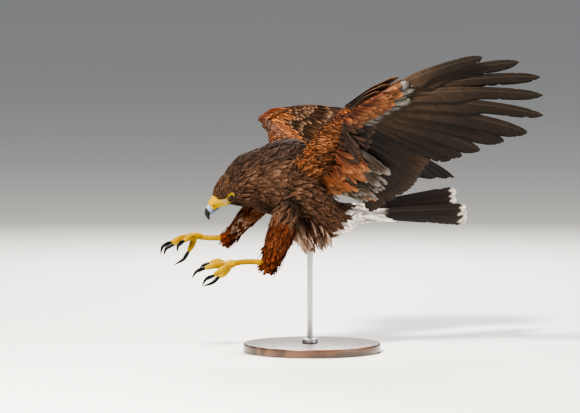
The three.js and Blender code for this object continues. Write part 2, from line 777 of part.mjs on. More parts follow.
function leg(name) {
  const { thigh, tarsus, palm, toes } = LEGS[name];
  const thighBody = (grow) => roundBody(thigh, { around: 14, rows: 10, grow });
  const palmBody = (grow) => roundBody(palm, { around: 10, rows: 6, grow });
  show(`thigh_${name}`, cut(thighBody(0), torsoBody(GAP)), 'rufous');
  const shank = roundBody(tarsus, { around: 9, rows: 7 });
  show(`tarsus_${name}`, cut(shank, thighBody(GAP), palmBody(GAP)), 'yellow');
  show(`foot_${name}`, palmBody(0), 'yellow');
  const made = [];
  for (const [toe, route] of Object.entries(toes)) {
    const [start, knuckle, end, arch, tip] = route;
    const joints = sized([start, knuckle, end], TOE_SIZES);
    const toeBody = (grow) => roundBody(joints, { around: 7, rows: 5, grow });
    const clawBody = roundBody(sized([end, arch, tip], CLAW_SIZES), { around: 5, rows: 5 });
    show(`toe_${toe}_${name}`, cut(toeBody(0), palmBody(GAP), ...made), 'yellow');
    show(`claw_${toe}_${name}`, cut(clawBody, toeBody(GAP)), 'talon');
    made.push(toeBody(GAP));
  }
}

stand();
body();
head();
tail();
wing('left');
wing('right');
leg('left');
leg('right');

export default bird;
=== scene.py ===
"""A life-size Harris hawk coming in to land, held over a round base by a steel rod."""

import math
import random

import bmesh
import bpy
import numpy as np
from bpy.props import FloatProperty, FloatVectorProperty, PointerProperty
from mathutils import Euler, Matrix, Vector, noise
from mathutils.bvhtree import BVHTree
from mathutils.kdtree import KDTree


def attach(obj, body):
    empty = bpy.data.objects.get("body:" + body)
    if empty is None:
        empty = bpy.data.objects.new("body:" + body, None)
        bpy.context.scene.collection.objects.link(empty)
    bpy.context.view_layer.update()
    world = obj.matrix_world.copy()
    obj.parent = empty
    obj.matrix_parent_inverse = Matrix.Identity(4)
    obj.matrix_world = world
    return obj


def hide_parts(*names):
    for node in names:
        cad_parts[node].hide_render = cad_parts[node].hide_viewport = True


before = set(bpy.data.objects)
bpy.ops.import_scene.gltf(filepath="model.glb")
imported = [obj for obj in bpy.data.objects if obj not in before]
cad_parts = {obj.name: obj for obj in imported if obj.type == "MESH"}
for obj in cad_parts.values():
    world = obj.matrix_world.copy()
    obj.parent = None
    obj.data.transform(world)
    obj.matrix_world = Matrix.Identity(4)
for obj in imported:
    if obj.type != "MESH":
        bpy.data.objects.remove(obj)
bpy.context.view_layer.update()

bl_info = {
    "name": "Harris hawk model",
    "version": (1, 0, 0),
    "blender": (4, 5, 0),
    "location": "3D View > Sidebar > Hawk",
    "description": "Feathers, bill, feet and stand of a life-size hawk",
    "category": "Add Mesh",
}

MM = 0.001
TURN = 2 * math.pi

# Sections of the body in millimetres: x, y, z, half height, half width
TORSO = [
    (-124, 0, 312, 40, 34), (-108, 0, 315, 56, 48), (-82, 0, 318, 67, 57), (-50, 0, 315, 76, 63),
    (-22, 0, 306, 79, 63), (5, 0, 274, 60, 57), (30, 0, 246, 41, 46), (58, 0, 241, 32, 35),
    (82, 0, 246, 23, 25), (92, 0, 248, 14, 15),
]
NECK = [
    (-104, 0, 318, 46, 40), (-122, 0, 318, 51, 44), (-138, 0, 316, 49, 41), (-152, 0, 312, 43, 36),
    (-164, 0, 307, 35, 31), (-172, 0, 302, 22, 20),
]
NAPE = [
    (-96, 0, 338, 38, 34), (-118, 0, 335, 36, 33), (-134, 0, 330, 35, 31), (-150, -1, 322, 33, 28),
    (-166, -2, 312, 29, 25),
]
TAIL_STUMP = [(68, 0, 249, 8, 9), (92, 0, 249, 15, 15), (116, 0, 245, 12, 14), (138, 0, 241, 4, 7)]

# Head: the point midway between the eyes, its bow, turn and roll in degrees, and sections in
# the head's own frame with the bill towards -X
HEAD_AT = (-175, -2, 296)
HEAD_BOW = -38
HEAD_TURN = -6
HEAD_ROLL = 20
SKULL = [
    (36, 0, -8, 18, 18), (29, 0, -6, 26, 26), (18, 0, -2, 29, 28), (6, 0, -1, 27, 24.5),
    (-6, 0, -1.5, 23, 20.5), (-16, 0, -3, 18, 16.5), (-24, 0, -5, 13, 12), (-29, 0, -6, 7, 6),
]
EYE_OUT = 16.2
EYE_RADIUS = 7.4
CORNEA = 0.35
HOOK = [
    (-34, 0, -5, 6, 5), (-38, 0, -5.4, 8, 6.4), (-43, 0, -7.6, 7.4, 5.4), (-47.5, 0, -11.6, 6, 4),
    (-49.6, 0, -16.6, 3.8, 2.4), (-50.6, 0, -21.4, 2, 1.3), (-51, 0, -25, 0.5, 0.5),
]
CERE = [
    (-17, 0, -4, 8, 7), (-23, 0, -3, 11.6, 10), (-29, 0, -3.2, 10.6, 8.8), (-35, 0, -4.2, 9.2, 7.4),
    (-37, 0, -4.6, 7.4, 6),
]
GAPE = [
    (-29, 4, -8.5, 2.2, 2.4), (-21, 9.2, -11.4, 1.9, 2.2), (-12, 13.8, -12.4, 1.7, 2.0),
    (-5, 16.5, -13, 1.3, 1.5), (-3, 17, -13.2, 0.5, 0.5),
]
NOSTRIL_AT = (-32, 8, -1.5)
# Radius and depth of a nostril, and how far from its middle the painted shade of its hole begins and is full
NOSTRIL_DENT = (1.9, 1.6)
NOSTRIL_SHADE = (2.0, 1.2)
CERE_VOXEL = 0.4
# How far from the point between the eyes the horn starts to darken and is darkest
HORN_DARKENS = (40, 49)
LOWER_BILL = [
    (-16, 0, -15, 2.6, 5), (-22, 0, -16, 3, 7), (-30, 0, -16.2, 2.8, 6), (-38, 0, -15.8, 2.2, 4.4),
    (-43, 0, -15.2, 1, 2),
]
BROW = [
    (10, 18.5, 7, 2, 2), (3, 21.5, 7.8, 3, 3.2), (-5, 20.6, 7, 3.2, 3.2), (-12, 16.2, 4.8, 2.6, 2.6),
    (-18, 11.5, 2, 1, 1),
]

# Tail: six feathers to a side, folded into an upright trough
TAIL_ROOT = (74, 0, 247)
TAIL_LENGTH = 228
TAIL_SWING = -14
TAIL_DROP = 23
TAIL_SIDES = [
    {"side": -1, "first_tilt": 16, "tilt_step": 9, "spread": 12.6, "shorten": 4},
    {"side": 1, "first_tilt": 38, "tilt_step": 9, "spread": 12.8, "shorten": -2},
]

# Wings: front is the edge from shoulder to thumb, roots and tips are those of the flight
# feathers from the innermost outwards
WINGS = {
    "left": {
        "side": -1,
        "front": [(-62, -22, 312), (-70, -48, 334), (-57, -85, 380), (-41, -130, 424), (-27, -165, 448),
                  (-15, -186, 463), (13, -200, 473), (50, -214, 486)],
        "arm_roots": [(6, -80, 336), (5, -107, 355), (0, -130, 382), (-6, -155, 410), (-13, -178, 435)],
        "arm_tips": [(111, -46, 260), (145, -80, 289), (148, -118, 307), (146, -150, 329), (152, -175, 355)],
        "thumb": [(-26, -192, 456), (70, -214, 507)],
        "hand_roots": [(-7, -181, 440), (9, -192, 451), (27, -204, 467), (47, -212, 483)],
        "hand_tips": [(185, -192, 356), (200, -206, 363), (226, -226, 374), (262, -250, 391),
                      (295, -276, 407), (316, -297, 438), (311, -305, 474), (305, -305, 507),
                      (266, -298, 534), (199, -285, 543)],
    },
    "right": {
        "side": 1,
        "front": [(-62, 22, 312), (-66, 46, 338), (-52, 80, 384), (-39, 115, 404), (-30, 150, 411),
                  (-19, 176, 416), (20, 194, 432), (79, 198, 436)],
        "arm_roots": [(22, 70, 344), (26, 92, 358), (14, 124, 376), (2, 152, 392), (-4, 172, 404)],
        "arm_tips": [(112, 54, 300), (142, 72, 298), (166, 86, 300), (187, 96, 303), (205, 101, 306)],
        "thumb": [(-14, 184, 418), (80, 208, 437)],
        "hand_roots": [(2, 178, 409), (24, 188, 416), (48, 194, 424), (74, 197, 432)],
        "hand_tips": [(216, 102, 308), (234, 98, 309), (252, 94, 309), (273, 91, 309), (298, 89, 306),
                      (322, 90, 303), (338, 94, 304), (331, 108, 339), (306, 128, 373), (268, 150, 396)],
    },
}
ARMPIT = (-6, 24, 318)
ARM_DEPTHS = [14, 15, 13, 11, 10, 9]
HAND_DEPTHS = [9, 9, 8, 6]
LAST_ARM = 12
FIRST_HAND = 13
LAST_FEATHER = 22
FIRST_FINGER = 18
FINGER_NOTCHES = [0.62, 0.56, 0.47, 0.42, 0.4]

# Legs: thigh, tarsus and palm sections, and each toe as start, knuckle, end, claw arch and tip
LEGS = {
    "left": {
        "thigh": [(-58, -42, 276, 24, 18), (-76, -54, 250, 30, 23), (-91, -62, 222, 29, 23),
                  (-104, -67, 197, 25, 20), (-115, -70, 174, 19, 16), (-121, -71, 157, 9, 8)],
        "tarsus": [(-112, -70, 164, 6, 6), (-132, -71, 172, 5.4, 5), (-152, -72, 175, 4.8, 4.2),
                   (-172, -72.5, 175, 4.8, 4.2), (-192, -73, 173, 5, 5)],
        "palm": [(-184, -73, 174, 5, 6), (-193, -73, 173, 7.6, 9), (-204, -73, 170, 7.4, 10),
                 (-213, -73, 167, 4, 6)],
        "toes": {
            "inner": [(-204, -67, 172), (-214, -56, 176), (-226, -50, 173), (-236, -46, 166),
                      (-243, -44, 156)],
            "middle": [(-206, -74, 170), (-226, -75, 171), (-247, -76, 167), (-261, -76, 160),
                       (-272, -76, 150)],
            "outer": [(-204, -80, 169), (-222, -91, 163), (-240, -99, 155), (-254, -102, 148),
                      (-264, -103, 138)],
            "hind": [(-198, -72, 166), (-206, -71, 157), (-217, -70, 150), (-232, -70, 141),
                     (-250, -70, 134)],
        },
    },
    "right": {
        "thigh": [(-66, 40, 290, 18, 16), (-84, 48, 268, 21, 18), (-103, 57, 246, 19, 17),
                  (-119, 64, 226, 16, 15), (-131, 69, 211, 13, 12), (-138, 71, 200, 6, 6)],
        "tarsus": [(-130, 69, 208, 6, 6), (-143, 71, 208, 5.4, 5), (-160, 72, 208, 4.8, 4.2),
                   (-178, 73, 209, 4.8, 4.2), (-196, 74, 212, 5, 5)],
        "palm": [(-188, 73, 211, 5, 6), (-197, 74, 213, 7.6, 9), (-208, 74, 211, 7.4, 10),
                 (-217, 74, 208, 4, 6)],
        "toes": {
            "inner": [(-208, 68, 212), (-219, 59, 211), (-230, 55, 206), (-240, 52, 197), (-245, 51, 186)],
            "middle": [(-210, 74, 211), (-228, 74, 209), (-247, 74, 203), (-260, 74, 194), (-268, 74, 182)],
            "outer": [(-208, 81, 210), (-220, 90, 204), (-232, 96, 197), (-243, 99, 188), (-250, 100, 177)],
            "hind": [(-202, 74, 206), (-206, 74, 196), (-213, 74, 185), (-226, 74, 172), (-243, 74, 161)],
        },
    },
}
TOE_SIZES = [(6, 6), (5.4, 5.2), (5.6, 5), (4.6, 4.2), (3, 2.8)]
CLAW_SIZES = [(2.8, 2.6), (3.6, 3.0), (2.9, 2.3), (1.7, 1.4), (0.4, 0.4)]
CLAW_BOW = 1.3


# Curves and shapes


def smooth(rows, t):
    """Values of the smooth curve through rows of numbers, t running from 0 to 1."""
    rows = np.asarray(rows, float)
    t = np.asarray(t, float)
    last = len(rows) - 1
    s = np.clip(t, 0, 1) * last
    i = np.minimum(s.astype(int), last - 1)
    w = (s - i)[..., None]
    here, after = rows[i], rows[i + 1]
    leave = (after - rows[np.maximum(i - 1, 0)]) / 2
    arrive = (rows[np.minimum(i + 2, last)] - here) / 2
    bend = 3 * (after - here) - 2 * leave - arrive
    return here + w * (leave + w * (bend + w * (leave + arrive - 2 * (after - here))))


def ramp(low, high, value):
    """0 below low, 1 above high and an even ease between them."""
    s = np.clip((np.asarray(value, float) - low) / (high - low), 0, 1)
    return s * s * (3 - 2 * s)


def blend(a, b, t):
    return a + (b - a) * t


def unit(v):
    return v / np.maximum(np.linalg.norm(v, axis=-1, keepdims=True), 1e-9)


def head_matrix():
    turn = Euler([math.radians(a) for a in (HEAD_ROLL, HEAD_BOW, HEAD_TURN)], "XYZ")
    return Matrix.Translation(Vector(HEAD_AT)) @ turn.to_matrix().to_4x4()


def in_head(points):
    """Points of the head's own frame, in the hawk's frame."""
    turn = np.array(head_matrix())
    return points @ turn[:3, :3].T + turn[:3, 3]


def round_place(sections, upright=False, depth=0.0, headed=False):
    """A way to place points on a round body: t along it, across and over on its unit ring."""
    def place(t, across, over):
        row = smooth(sections, t)
        ahead = unit(smooth(sections, t + 0.01)[..., :3] - smooth(sections, t - 0.01)[..., :3])
        if upright:
            ahead = np.stack([np.sign(ahead[..., 0]), 0 * t, 0 * t], axis=-1)
        side = unit(np.cross([0, 0, 1.0], ahead))
        top = np.cross(ahead, side)
        tall = np.maximum(row[..., 3:4] - depth, 0.4)
        wide = np.maximum(row[..., 4:5] - depth, 0.4)
        moved = row[..., :3] + side * (across[..., None] * wide) + top * (over[..., None] * tall)
        return in_head(moved) if headed else moved
    return place


def sheet_place(front, rear, thick, depth=0.0):
    """A way to place points on a flat body between a front edge and a rear edge."""
    thick = [(value,) for value in thick]
    def place(t, across, over):
        a, b = smooth(front, t), smooth(rear, t)
        chord = (b - a) / 2
        reach = np.linalg.norm(chord, axis=-1, keepdims=True)
        chord = chord * np.maximum(1 - depth / np.maximum(reach, 1), 0.4)
        along = smooth(front, t + 0.01) - smooth(front, t - 0.01)
        face = unit(np.cross(along, chord))
        height = np.maximum(smooth(thick, t) - depth, 1.5)
        return (a + b) / 2 + chord * across[..., None] + face * (over[..., None] * height)
    return place


def add_ball(bm, place, around, rows):
    """Adds a ball to a bmesh and pulls it to the shape that place gives."""
    verts = bmesh.ops.create_uvsphere(bm, u_segments=around, v_segments=rows, radius=1)["verts"]
    at = np.array([v.co for v in verts])
    ring = np.hypot(at[:, 0], at[:, 1])
    round_it = np.where(ring > 1e-4, 1 / np.maximum(ring, 1e-4), 0)
    t = np.arccos(np.clip(at[:, 2], -1, 1)) / np.pi
    for vert, spot in zip(verts, place(t, at[:, 0] * round_it, at[:, 1] * round_it) * MM):
        vert.co = spot
    return verts


def finish_piece(name, mesh, materials, replaced=()):
    """Puts a mesh in the scene as a piece that rides on the hawk's one body. materials are named,
    and replaced holds the nodes that the piece stands for."""
    piece = bpy.data.objects.new(name, mesh)
    bpy.context.collection.objects.link(piece)
    for material in materials:
        mesh.materials.append(bpy.data.materials[material])
    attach(piece, "root")
    if replaced:
        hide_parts(*replaced)
    return piece


def paint(mesh, name, values, kind="FLOAT_VECTOR", key="vector"):
    """Stores values for every vertex of a mesh, where its material finds them by name."""
    values = np.asarray(values, dtype=np.float32).ravel()
    mesh.attributes.new(name, kind, "POINT").data.foreach_set(key, values)


def points_of(mesh):
    """The places of a mesh's vertices in millimetres."""
    points = np.empty(len(mesh.vertices) * 3, dtype=np.float32)
    mesh.vertices.foreach_get("co", points)
    return points.reshape(-1, 3) / MM


def mesh_of(bm, name, closed=True):
    """The finished mesh of a bmesh, shaded smooth. A closed one has its seams joined and its
    faces turned out."""
    if closed:
        bmesh.ops.remove_doubles(bm, verts=bm.verts, dist=1e-6)
        bmesh.ops.recalc_face_normals(bm, faces=bm.faces)
    for face in bm.faces:
        face.smooth = True
    mesh = bpy.data.meshes.new(name)
    bm.to_mesh(mesh)
    bm.free()
    return mesh


# Materials


class Nodes:
    """A material's node tree, built one node at a time."""

    def __init__(self, name):
        self.material = bpy.data.materials.new(name)
        self.material.use_nodes = True
        self.tree = self.material.node_tree
        self.tree.nodes.clear()

    def add(self, kind, inputs=(), **settings):
        made = self.tree.nodes.new("ShaderNode" + kind)
        for key, value in settings.items():
            setattr(made, key, value)
        for key, value in dict(inputs).items():
            if isinstance(value, bpy.types.NodeSocket):
                self.tree.links.new(value, made.inputs[key])
            else:
                made.inputs[key].default_value = value
        return made

    def math(self, operation, a, b=0.0):
        return self.add("Math", {0: a, 1: b}, operation=operation).outputs[0]

    def plus(self, a, b):
        return self.math("ADD", a, b)

    def minus(self, a, b):
        return self.math("SUBTRACT", a, b)

    def times(self, a, b):
        return self.math("MULTIPLY", a, b)

    def ramp(self, value, low, high, start=0.0, end=1.0):
        """start below low, end above high and an even ease between them."""
        inputs = {"Value": value, 1: low, 2: high, 3: start, 4: end}
        return self.add("MapRange", inputs, interpolation_type="SMOOTHSTEP").outputs[0]

    def mix(self, factor, a, b, how="MIX"):
        made = self.add("Mix", {0: factor, 6: a, 7: b}, data_type="RGBA", blend_type=how)
        return made.outputs[2]

    def scale(self, color, factor):
        """A colour made lighter or darker by a factor."""
        return self.add("VectorMath", {0: color, "Scale": factor}, operation="SCALE").outputs[0]

    def noise(self, at, scale, detail=3.0, roughness=0.55):
        inputs = {"Vector": at, "Scale": scale, "Detail": detail, "Roughness": roughness}
        return self.add("TexNoise", inputs).outputs[0]

    def attribute(self, name, output="Vector"):
        return self.add("Attribute", attribute_name=name).outputs[output]

    def split(self, vector):
        return self.add("SeparateXYZ", {0: vector}).outputs

    def vector(self, x, y, z):
        return self.add("CombineXYZ", {0: x, 1: y, 2: z}).outputs[0]

    def stretched(self, parts, factors):
        """The parts of a vector, each multiplied by its own factor."""
        return self.vector(*[self.times(part, factor) for part, factor in zip(parts, factors)])

    def place(self):
        return self.add("TexCoord").outputs["Object"]

    def bump(self, height, depth, strength=1.0):
        inputs = {"Height": height, "Distance": depth, "Strength": strength}
        return self.add("Bump", inputs).outputs[0]

    def done(self, color, roughness, normal=None, **fixed):
        """The finished material. fixed holds values of the shader's other sockets."""
        inputs = {"Base Color": color, "Roughness": roughness}
        if normal is not None:
            inputs["Normal"] = normal
        shader = self.add("BsdfPrincipled", inputs)
        for key, value in fixed.items():
            shader.inputs[key.replace("_", " ").title().replace("Ior", "IOR")].default_value = value
        output = self.add("OutputMaterial")
        self.tree.links.new(shader.outputs[0], output.inputs[0])
        return self.material


def shade(red, green, blue):
    """A colour given as on a screen, 0 to 255, for a node or an attribute."""
    def linear(value):
        value /= 255
        return value / 12.92 if value <= 0.04045 else ((value + 0.055) / 1.055) ** 2.4
    return (linear(red), linear(green), linear(blue), 1.0)


# Colours of the materials that the panel doesn't set
SKIN_TONES = (shade(24, 17, 13), shade(38, 27, 20), shade(70, 50, 38))
LORES_CREAM = shade(150, 128, 84)
CERE_DEEP = shade(146, 110, 0)
FOOT_DEEP = shade(128, 92, 0)
CREASE = (0.05, 0.02, 0.005, 1)
DARK_SKIN_AND_NOSTRIL_SHADE = shade(28, 16, 8)
BILL_HORN = (shade(110, 126, 140), shade(5, 5, 6))
CLAW_HORN = (shade(16, 15, 15), shade(4, 4, 4))
HORN_STREAK = shade(150, 150, 148)
PUPIL = (0.003, 0.003, 0.004, 1)
IRIS = (shade(26, 12, 6), shade(58, 28, 12), shade(26, 13, 8))
EYEBALL = shade(22, 16, 14)
WALNUT = (shade(48, 30, 20), shade(84, 54, 34), shade(26, 16, 11))
STEEL = (shade(150, 152, 154), shade(196, 197, 199))
WING_CAST = (shade(26, 25, 30), 0.6)
TAIL_CAST = (shade(16, 14, 15), 0.25)
SHAFT_BELOW = shade(92, 80, 68)
SHAFT_ABOVE = shade(20, 16, 14)

# Scales of the noises and waves, for each metre
SKIN_GRAIN = (900, 60)
SCALE_GRAIN = (700, 45)
SCALE_CELLS = 520.0
HORN_GRAIN = (1300, 160)
WOOD_RINGS = 190.0

# Barbs leave the shaft slanting, this many millimetres along for each one aside, and stand up
# this many metres
BARB_SLANT = 1.1
BARB_DEPTH = 0.0006
# Scales of the noises that draw a vane, for each millimetre, and how fast its cross bars turn
GRAIN = {"barbs": 1.3, "wide": 0.5, "patches": 0.09, "lines": 0.8}
BAR_TURN = 0.55


def feather_material(name, cast=None, underside=False, gloss=0.14, dull=0.46, base=0.75, streaked=0.12):
    """Vanes coloured by their own attributes: shaft, barbs, fringe, bars and a little sheen. cast
    is a colour laid over them and its share."""
    n = Nodes(name)
    across, along, seed = n.split(n.attribute("vane"))[:3]
    mm_across, mm_along, marks = n.split(n.attribute("span"))[:3]
    tone = n.attribute("tone", "Color")
    if cast:
        tone = n.mix(cast[1], tone, cast[0])
    rim = n.attribute("rim", "Color")
    rim_share = n.attribute("rim", "Alpha")
    aside = n.math("ABSOLUTE", across)
    mm_aside = n.math("ABSOLUTE", mm_across)

    # Streaks that follow the barbs, patches, and lines along the feather
    barb = n.minus(mm_along, n.times(mm_aside, BARB_SLANT))
    lot = n.times(seed, 91.7)
    barbs = n.noise(n.vector(barb, n.times(mm_aside, 0.06), lot), GRAIN["barbs"], 3, 0.7)
    wide = n.noise(n.vector(n.times(barb, 0.5), n.times(mm_aside, 0.08), lot), GRAIN["wide"])
    patches = n.noise(n.vector(mm_across, mm_along, lot), GRAIN["patches"], 3, 0.6)
    light = n.plus(n.ramp(barbs, 0.3, 0.75, 0.72, 1.18), n.ramp(wide, 0.35, 0.75, -0.16, 0.22))
    light = n.times(light, n.ramp(patches, 0.3, 0.7, 1.12, 0.82))
    light = n.times(light, n.ramp(aside, 0.0, 1.0, 1.12, 0.8))
    light = n.times(light, n.ramp(along, 0.25, 0.85, 0.85 if underside else base, 1.1))
    if underside:
        # Painted highlight: the leading edge is paler from below, as if catching the light
        light = n.times(light, n.ramp(across, 0.0, 0.7, 0.86, 1.55))
    lines = n.noise(n.vector(mm_across, n.times(mm_along, 0.07), lot), GRAIN["lines"], 2, 0.6)
    light = n.times(light, n.ramp(lines, 0.3, 0.7, 1 - streaked, 1 + streaked))
    color = n.scale(tone, light)

    # Faint cross bars, as strong as the third part of span says
    wave = n.math("SINE", n.times(n.plus(mm_along, n.times(mm_aside, -0.2)), BAR_TURN))
    bars = n.times(n.ramp(n.plus(wave, n.times(barbs, 0.8)), 0.4, 1.3), marks)
    color = n.scale(color, n.minus(1.0, n.times(bars, 0.5)))

    # Fringe: along the edge and the tip, frayed by the barbs
    frayed = n.times(n.minus(barbs, 0.5), 0.3)
    edge = n.ramp(n.plus(aside, frayed), 0.72, 0.98)
    edge = n.times(edge, n.ramp(along, 0.3, 0.8))
    tip = n.ramp(n.plus(along, frayed), 0.8, 1.0)
    color = n.mix(n.times(n.math("MAXIMUM", edge, tip), rim_share), color, rim)

    # The shaft is a little paler from below and darker from above
    width = n.plus(0.5, n.times(along, -0.3))
    shaft = n.ramp(n.math("DIVIDE", mm_aside, width), 0.8, 2.0, 1.0, 0.0)
    strength = n.times(shaft, n.ramp(mm_along, 15, 60, 0.1, 0.3))
    color = n.mix(strength, color, SHAFT_BELOW if underside else SHAFT_ABOVE)

    height = n.plus(n.times(barbs, 0.6), n.times(wide, 0.5))
    rough = n.ramp(barbs, 0.2, 0.8, dull, dull + 0.22)
    return n.done(color, rough, n.bump(height, BARB_DEPTH, 0.7), specular_ior_level=gloss)


def skin_material():
    """Dark skin under the feathers, bare where the attribute bare says."""
    n = Nodes("skin_down")
    at = n.place()
    fine = n.noise(at, SKIN_GRAIN[0], 4, 0.7)
    wide = n.noise(at, SKIN_GRAIN[1], 3, 0.6)
    color = n.mix(n.ramp(wide, 0.35, 0.65), *SKIN_TONES[:2])
    color = n.mix(n.ramp(fine, 0.45, 0.8, 0, 0.3), color, SKIN_TONES[2])
    # Bare skin of the lores, yellow by the cere and cream towards the eye
    bare_share, yellow_share, _ = n.split(n.attribute("bare"))[:3]
    yellow = (*bpy.context.scene.hawk_colours.bare_skin, 1)
    bare_color = n.mix(yellow_share, LORES_CREAM, yellow)
    bare_color = n.scale(bare_color, n.ramp(fine, 0.3, 0.7, 0.8, 1.1))
    color = n.mix(bare_share, color, bare_color)
    rough = n.ramp(fine, 0.3, 0.7, 0.75, 0.95)
    return n.done(color, rough, n.bump(fine, 0.0004), specular_ior_level=0.2)


def scale_material(name, flesh, deep, creased):
    """Bare yellow skin of the cere, eyelids, feet and toes."""
    n = Nodes(name)
    at = n.place()
    wide = n.noise(at, SCALE_GRAIN[1], 3, 0.6)
    fine = n.noise(at, SCALE_GRAIN[0], 3, 0.6)
    inputs = {"Vector": at, "Scale": SCALE_CELLS}
    cells = n.add("TexVoronoi", inputs, feature="DISTANCE_TO_EDGE").outputs[0]
    crease = n.ramp(cells, 0.0, 0.12, 1, 0)
    color = n.mix(n.ramp(wide, 0.35, 0.7), flesh, deep)
    color = n.mix(n.times(crease, creased), color, n.mix(0.7, deep, CREASE))
    color = n.scale(color, n.ramp(fine, 0.3, 0.8, 0.9, 1.12))
    # Dark skin of the lids, and painted shade in the nostrils, where the attribute shade says
    color = n.mix(n.attribute("shade", "Fac"), color, DARK_SKIN_AND_NOSTRIL_SHADE)
    height = n.minus(n.times(fine, 0.2), n.times(crease, creased * 2))
    rough = n.ramp(wide, 0.3, 0.7, 0.42, 0.64)
    return n.done(color, rough, n.bump(height, 0.0002, 0.6), specular_ior_level=0.12)


def horn_material(name, base, tip, streaked, gloss):
    """Horn of the bill and claws, darkening towards the tip."""
    n = Nodes(name)
    at = n.place()
    streaks = n.noise(at, HORN_GRAIN[1], 4, 0.65)
    fine = n.noise(at, HORN_GRAIN[0], 2, 0.5)
    dark = n.plus(n.attribute("shade", "Fac"), n.times(n.minus(streaks, 0.5), 0.5))
    color = n.mix(n.ramp(dark, 0.25, 0.7), base, tip)
    color = n.mix(n.ramp(streaks, 0.55, 0.75, 0, streaked), color, HORN_STREAK)
    rough = n.plus(n.ramp(streaks, 0.3, 0.7, 0.22, 0.38), n.times(fine, 0.08))
    return n.done(color, rough, n.bump(fine, 0.00005, 0.5), specular_ior_level=gloss)


# Where the pupil ends, where the iris darkens and where the ball begins, in radii of the eye
PUPIL_EDGE = (0.29, 0.33)
IRIS_EDGE = (0.5, 0.66)
BALL_EDGE = (0.72, 0.82)


def eye_material():
    n = Nodes("eye_wet")
    out, turn, _ = n.split(n.attribute("iris"))[:3]
    spokes = n.noise(n.vector(n.times(out, 3.0), turn, 0.0), 6.0, 4, 0.6)
    iris = n.mix(spokes, *IRIS[:2])
    iris = n.mix(n.ramp(out, *IRIS_EDGE), iris, IRIS[2])
    color = n.mix(n.ramp(out, *PUPIL_EDGE), PUPIL, iris)
    color = n.mix(n.ramp(out, *BALL_EDGE), color, EYEBALL)
    return n.done(color, n.ramp(spokes, 0.2, 0.8, 0.08, 0.16), None, coat_weight=0.3,
                  coat_roughness=0.02, specular_ior_level=0.2)


def wood_material():
    n = Nodes("stand_walnut")
    x, y, z = n.split(n.place())[:3]
    warp = n.noise(n.stretched((x, y, z), (1.2, 9.0, 9.0)), 3.0, 3, 0.5)
    ring = n.math("SINE", n.plus(n.times(y, WOOD_RINGS), n.times(warp, 16.0)))
    pores = n.noise(n.vector(n.times(x, 25.0), n.times(y, 900.0), z), 1.0, 2, 0.6)
    color = n.mix(n.ramp(ring, -0.9, 0.9), *WALNUT[:2])
    color = n.mix(n.ramp(pores, 0.55, 0.72, 0, 0.7), color, WALNUT[2])
    rough = n.ramp(pores, 0.4, 0.7, 0.3, 0.5)
    return n.done(color, rough, n.bump(pores, 0.00012, 0.5), coat_weight=0.3, coat_roughness=0.18)


def steel_material():
    n = Nodes("stand_brushed_steel")
    x, y, z = n.split(n.place())[:3]
    lines = n.noise(n.stretched((x, y, z), (60.0, 60.0, 4000.0)), 1.0, 3, 0.7)
    wide = n.noise(n.vector(x, y, z), 40, 2, 0.5)
    color = n.mix(n.ramp(lines, 0.3, 0.7), *STEEL)
    rough = n.plus(n.ramp(lines, 0.3, 0.7, 0.24, 0.42), n.times(wide, 0.06))
    return n.done(color, rough, n.bump(lines, 0.00004, 0.5), metallic=1.0)


def floor_material(tint):
    n = Nodes("stage_floor")
    at = n.place()
    wide = n.noise(at, 0.6, 3, 0.5)
    fine = n.noise(at, 60, 2, 0.5)
    color = n.mix(n.ramp(wide, 0.3, 0.7, 0, 0.25), (*tint, 1), n.mix(0.1, (*tint, 1), (0, 0, 0, 1)))
    return n.done(color, n.ramp(fine, 0.3, 0.7, 0.75, 0.9), n.bump(fine, 0.0003, 0.2))


# Feathers


# The widest half of a feather that no neighbour limits, in millimetres
FREE = 99.0
# How far the corners of an outline are rounded off, in shares of the length
CORNER = 0.012
# The rows of a feather crowd towards its tip and its columns towards the shaft
ROW_CROWD = 1.35
COLUMN_CROWD = 1.15
# How far the edges droop for each millimetre aside and waver from row to row
DROOP = 0.05
WAVER = 0.05
SHAFT_WIDTH = 1.6
# How deep parted barbs cut into a vane, and how far they slide back and the next ones forward
PARTED = (0.05, 0.2)
PARTED_BACK = 9
PARTED_FORWARD = 3
# Margins of a feather's strip on the bake sheet, along it and across it
STRIP_ALONG = (0.01, 0.99)
STRIP_ACROSS = (0.08, 0.92)


def profile(outline, t):
    """Leading and trailing widths at t, with the corners of the outline rounded off."""
    rows = np.asarray(outline, float)
    spots = [np.clip(t + shift, 0, 1) for shift in (-CORNER, 0, CORNER)]
    widths = []
    for column in (1, 2):
        near = [np.interp(spot, rows[:, 0], rows[:, column]) for spot in spots]
        widths.append((near[0] + 2 * near[1] + near[2]) / 4)
    return widths


def stray(draw, spread):
    """A small way off, drawn at random."""
    return np.array([draw.gauss(0, spread) for _ in range(3)])


def narrowed(outline, share):
    """The same outline with its vanes scaled by a share."""
    return [(t, lead * share, trail * share) for t, lead, trail in outline]


def straight_seat(root, tip, up, sag=0.0):
    """Seats of a loose feather between two points, its face turned towards up."""
    root, tip = np.asarray(root, float), np.asarray(tip, float)
    fore = unit(np.cross(up, tip - root))
    face = unit(np.cross(tip - root, fore))
    def seat(t):
        at = root + t[:, None] * (tip - root) + face * (4 * sag * t * (1 - t))[:, None]
        return at, fore + 0 * at, face + 0 * at, np.full(len(t), FREE)
    return seat


def cells_of(grid):
    """The corners of every cell of a grid of numbers, four to a row."""
    return np.stack([grid[:-1, :-1], grid[:-1, 1:], grid[1:, 1:], grid[1:, :-1]], -1).reshape(-1, 4)


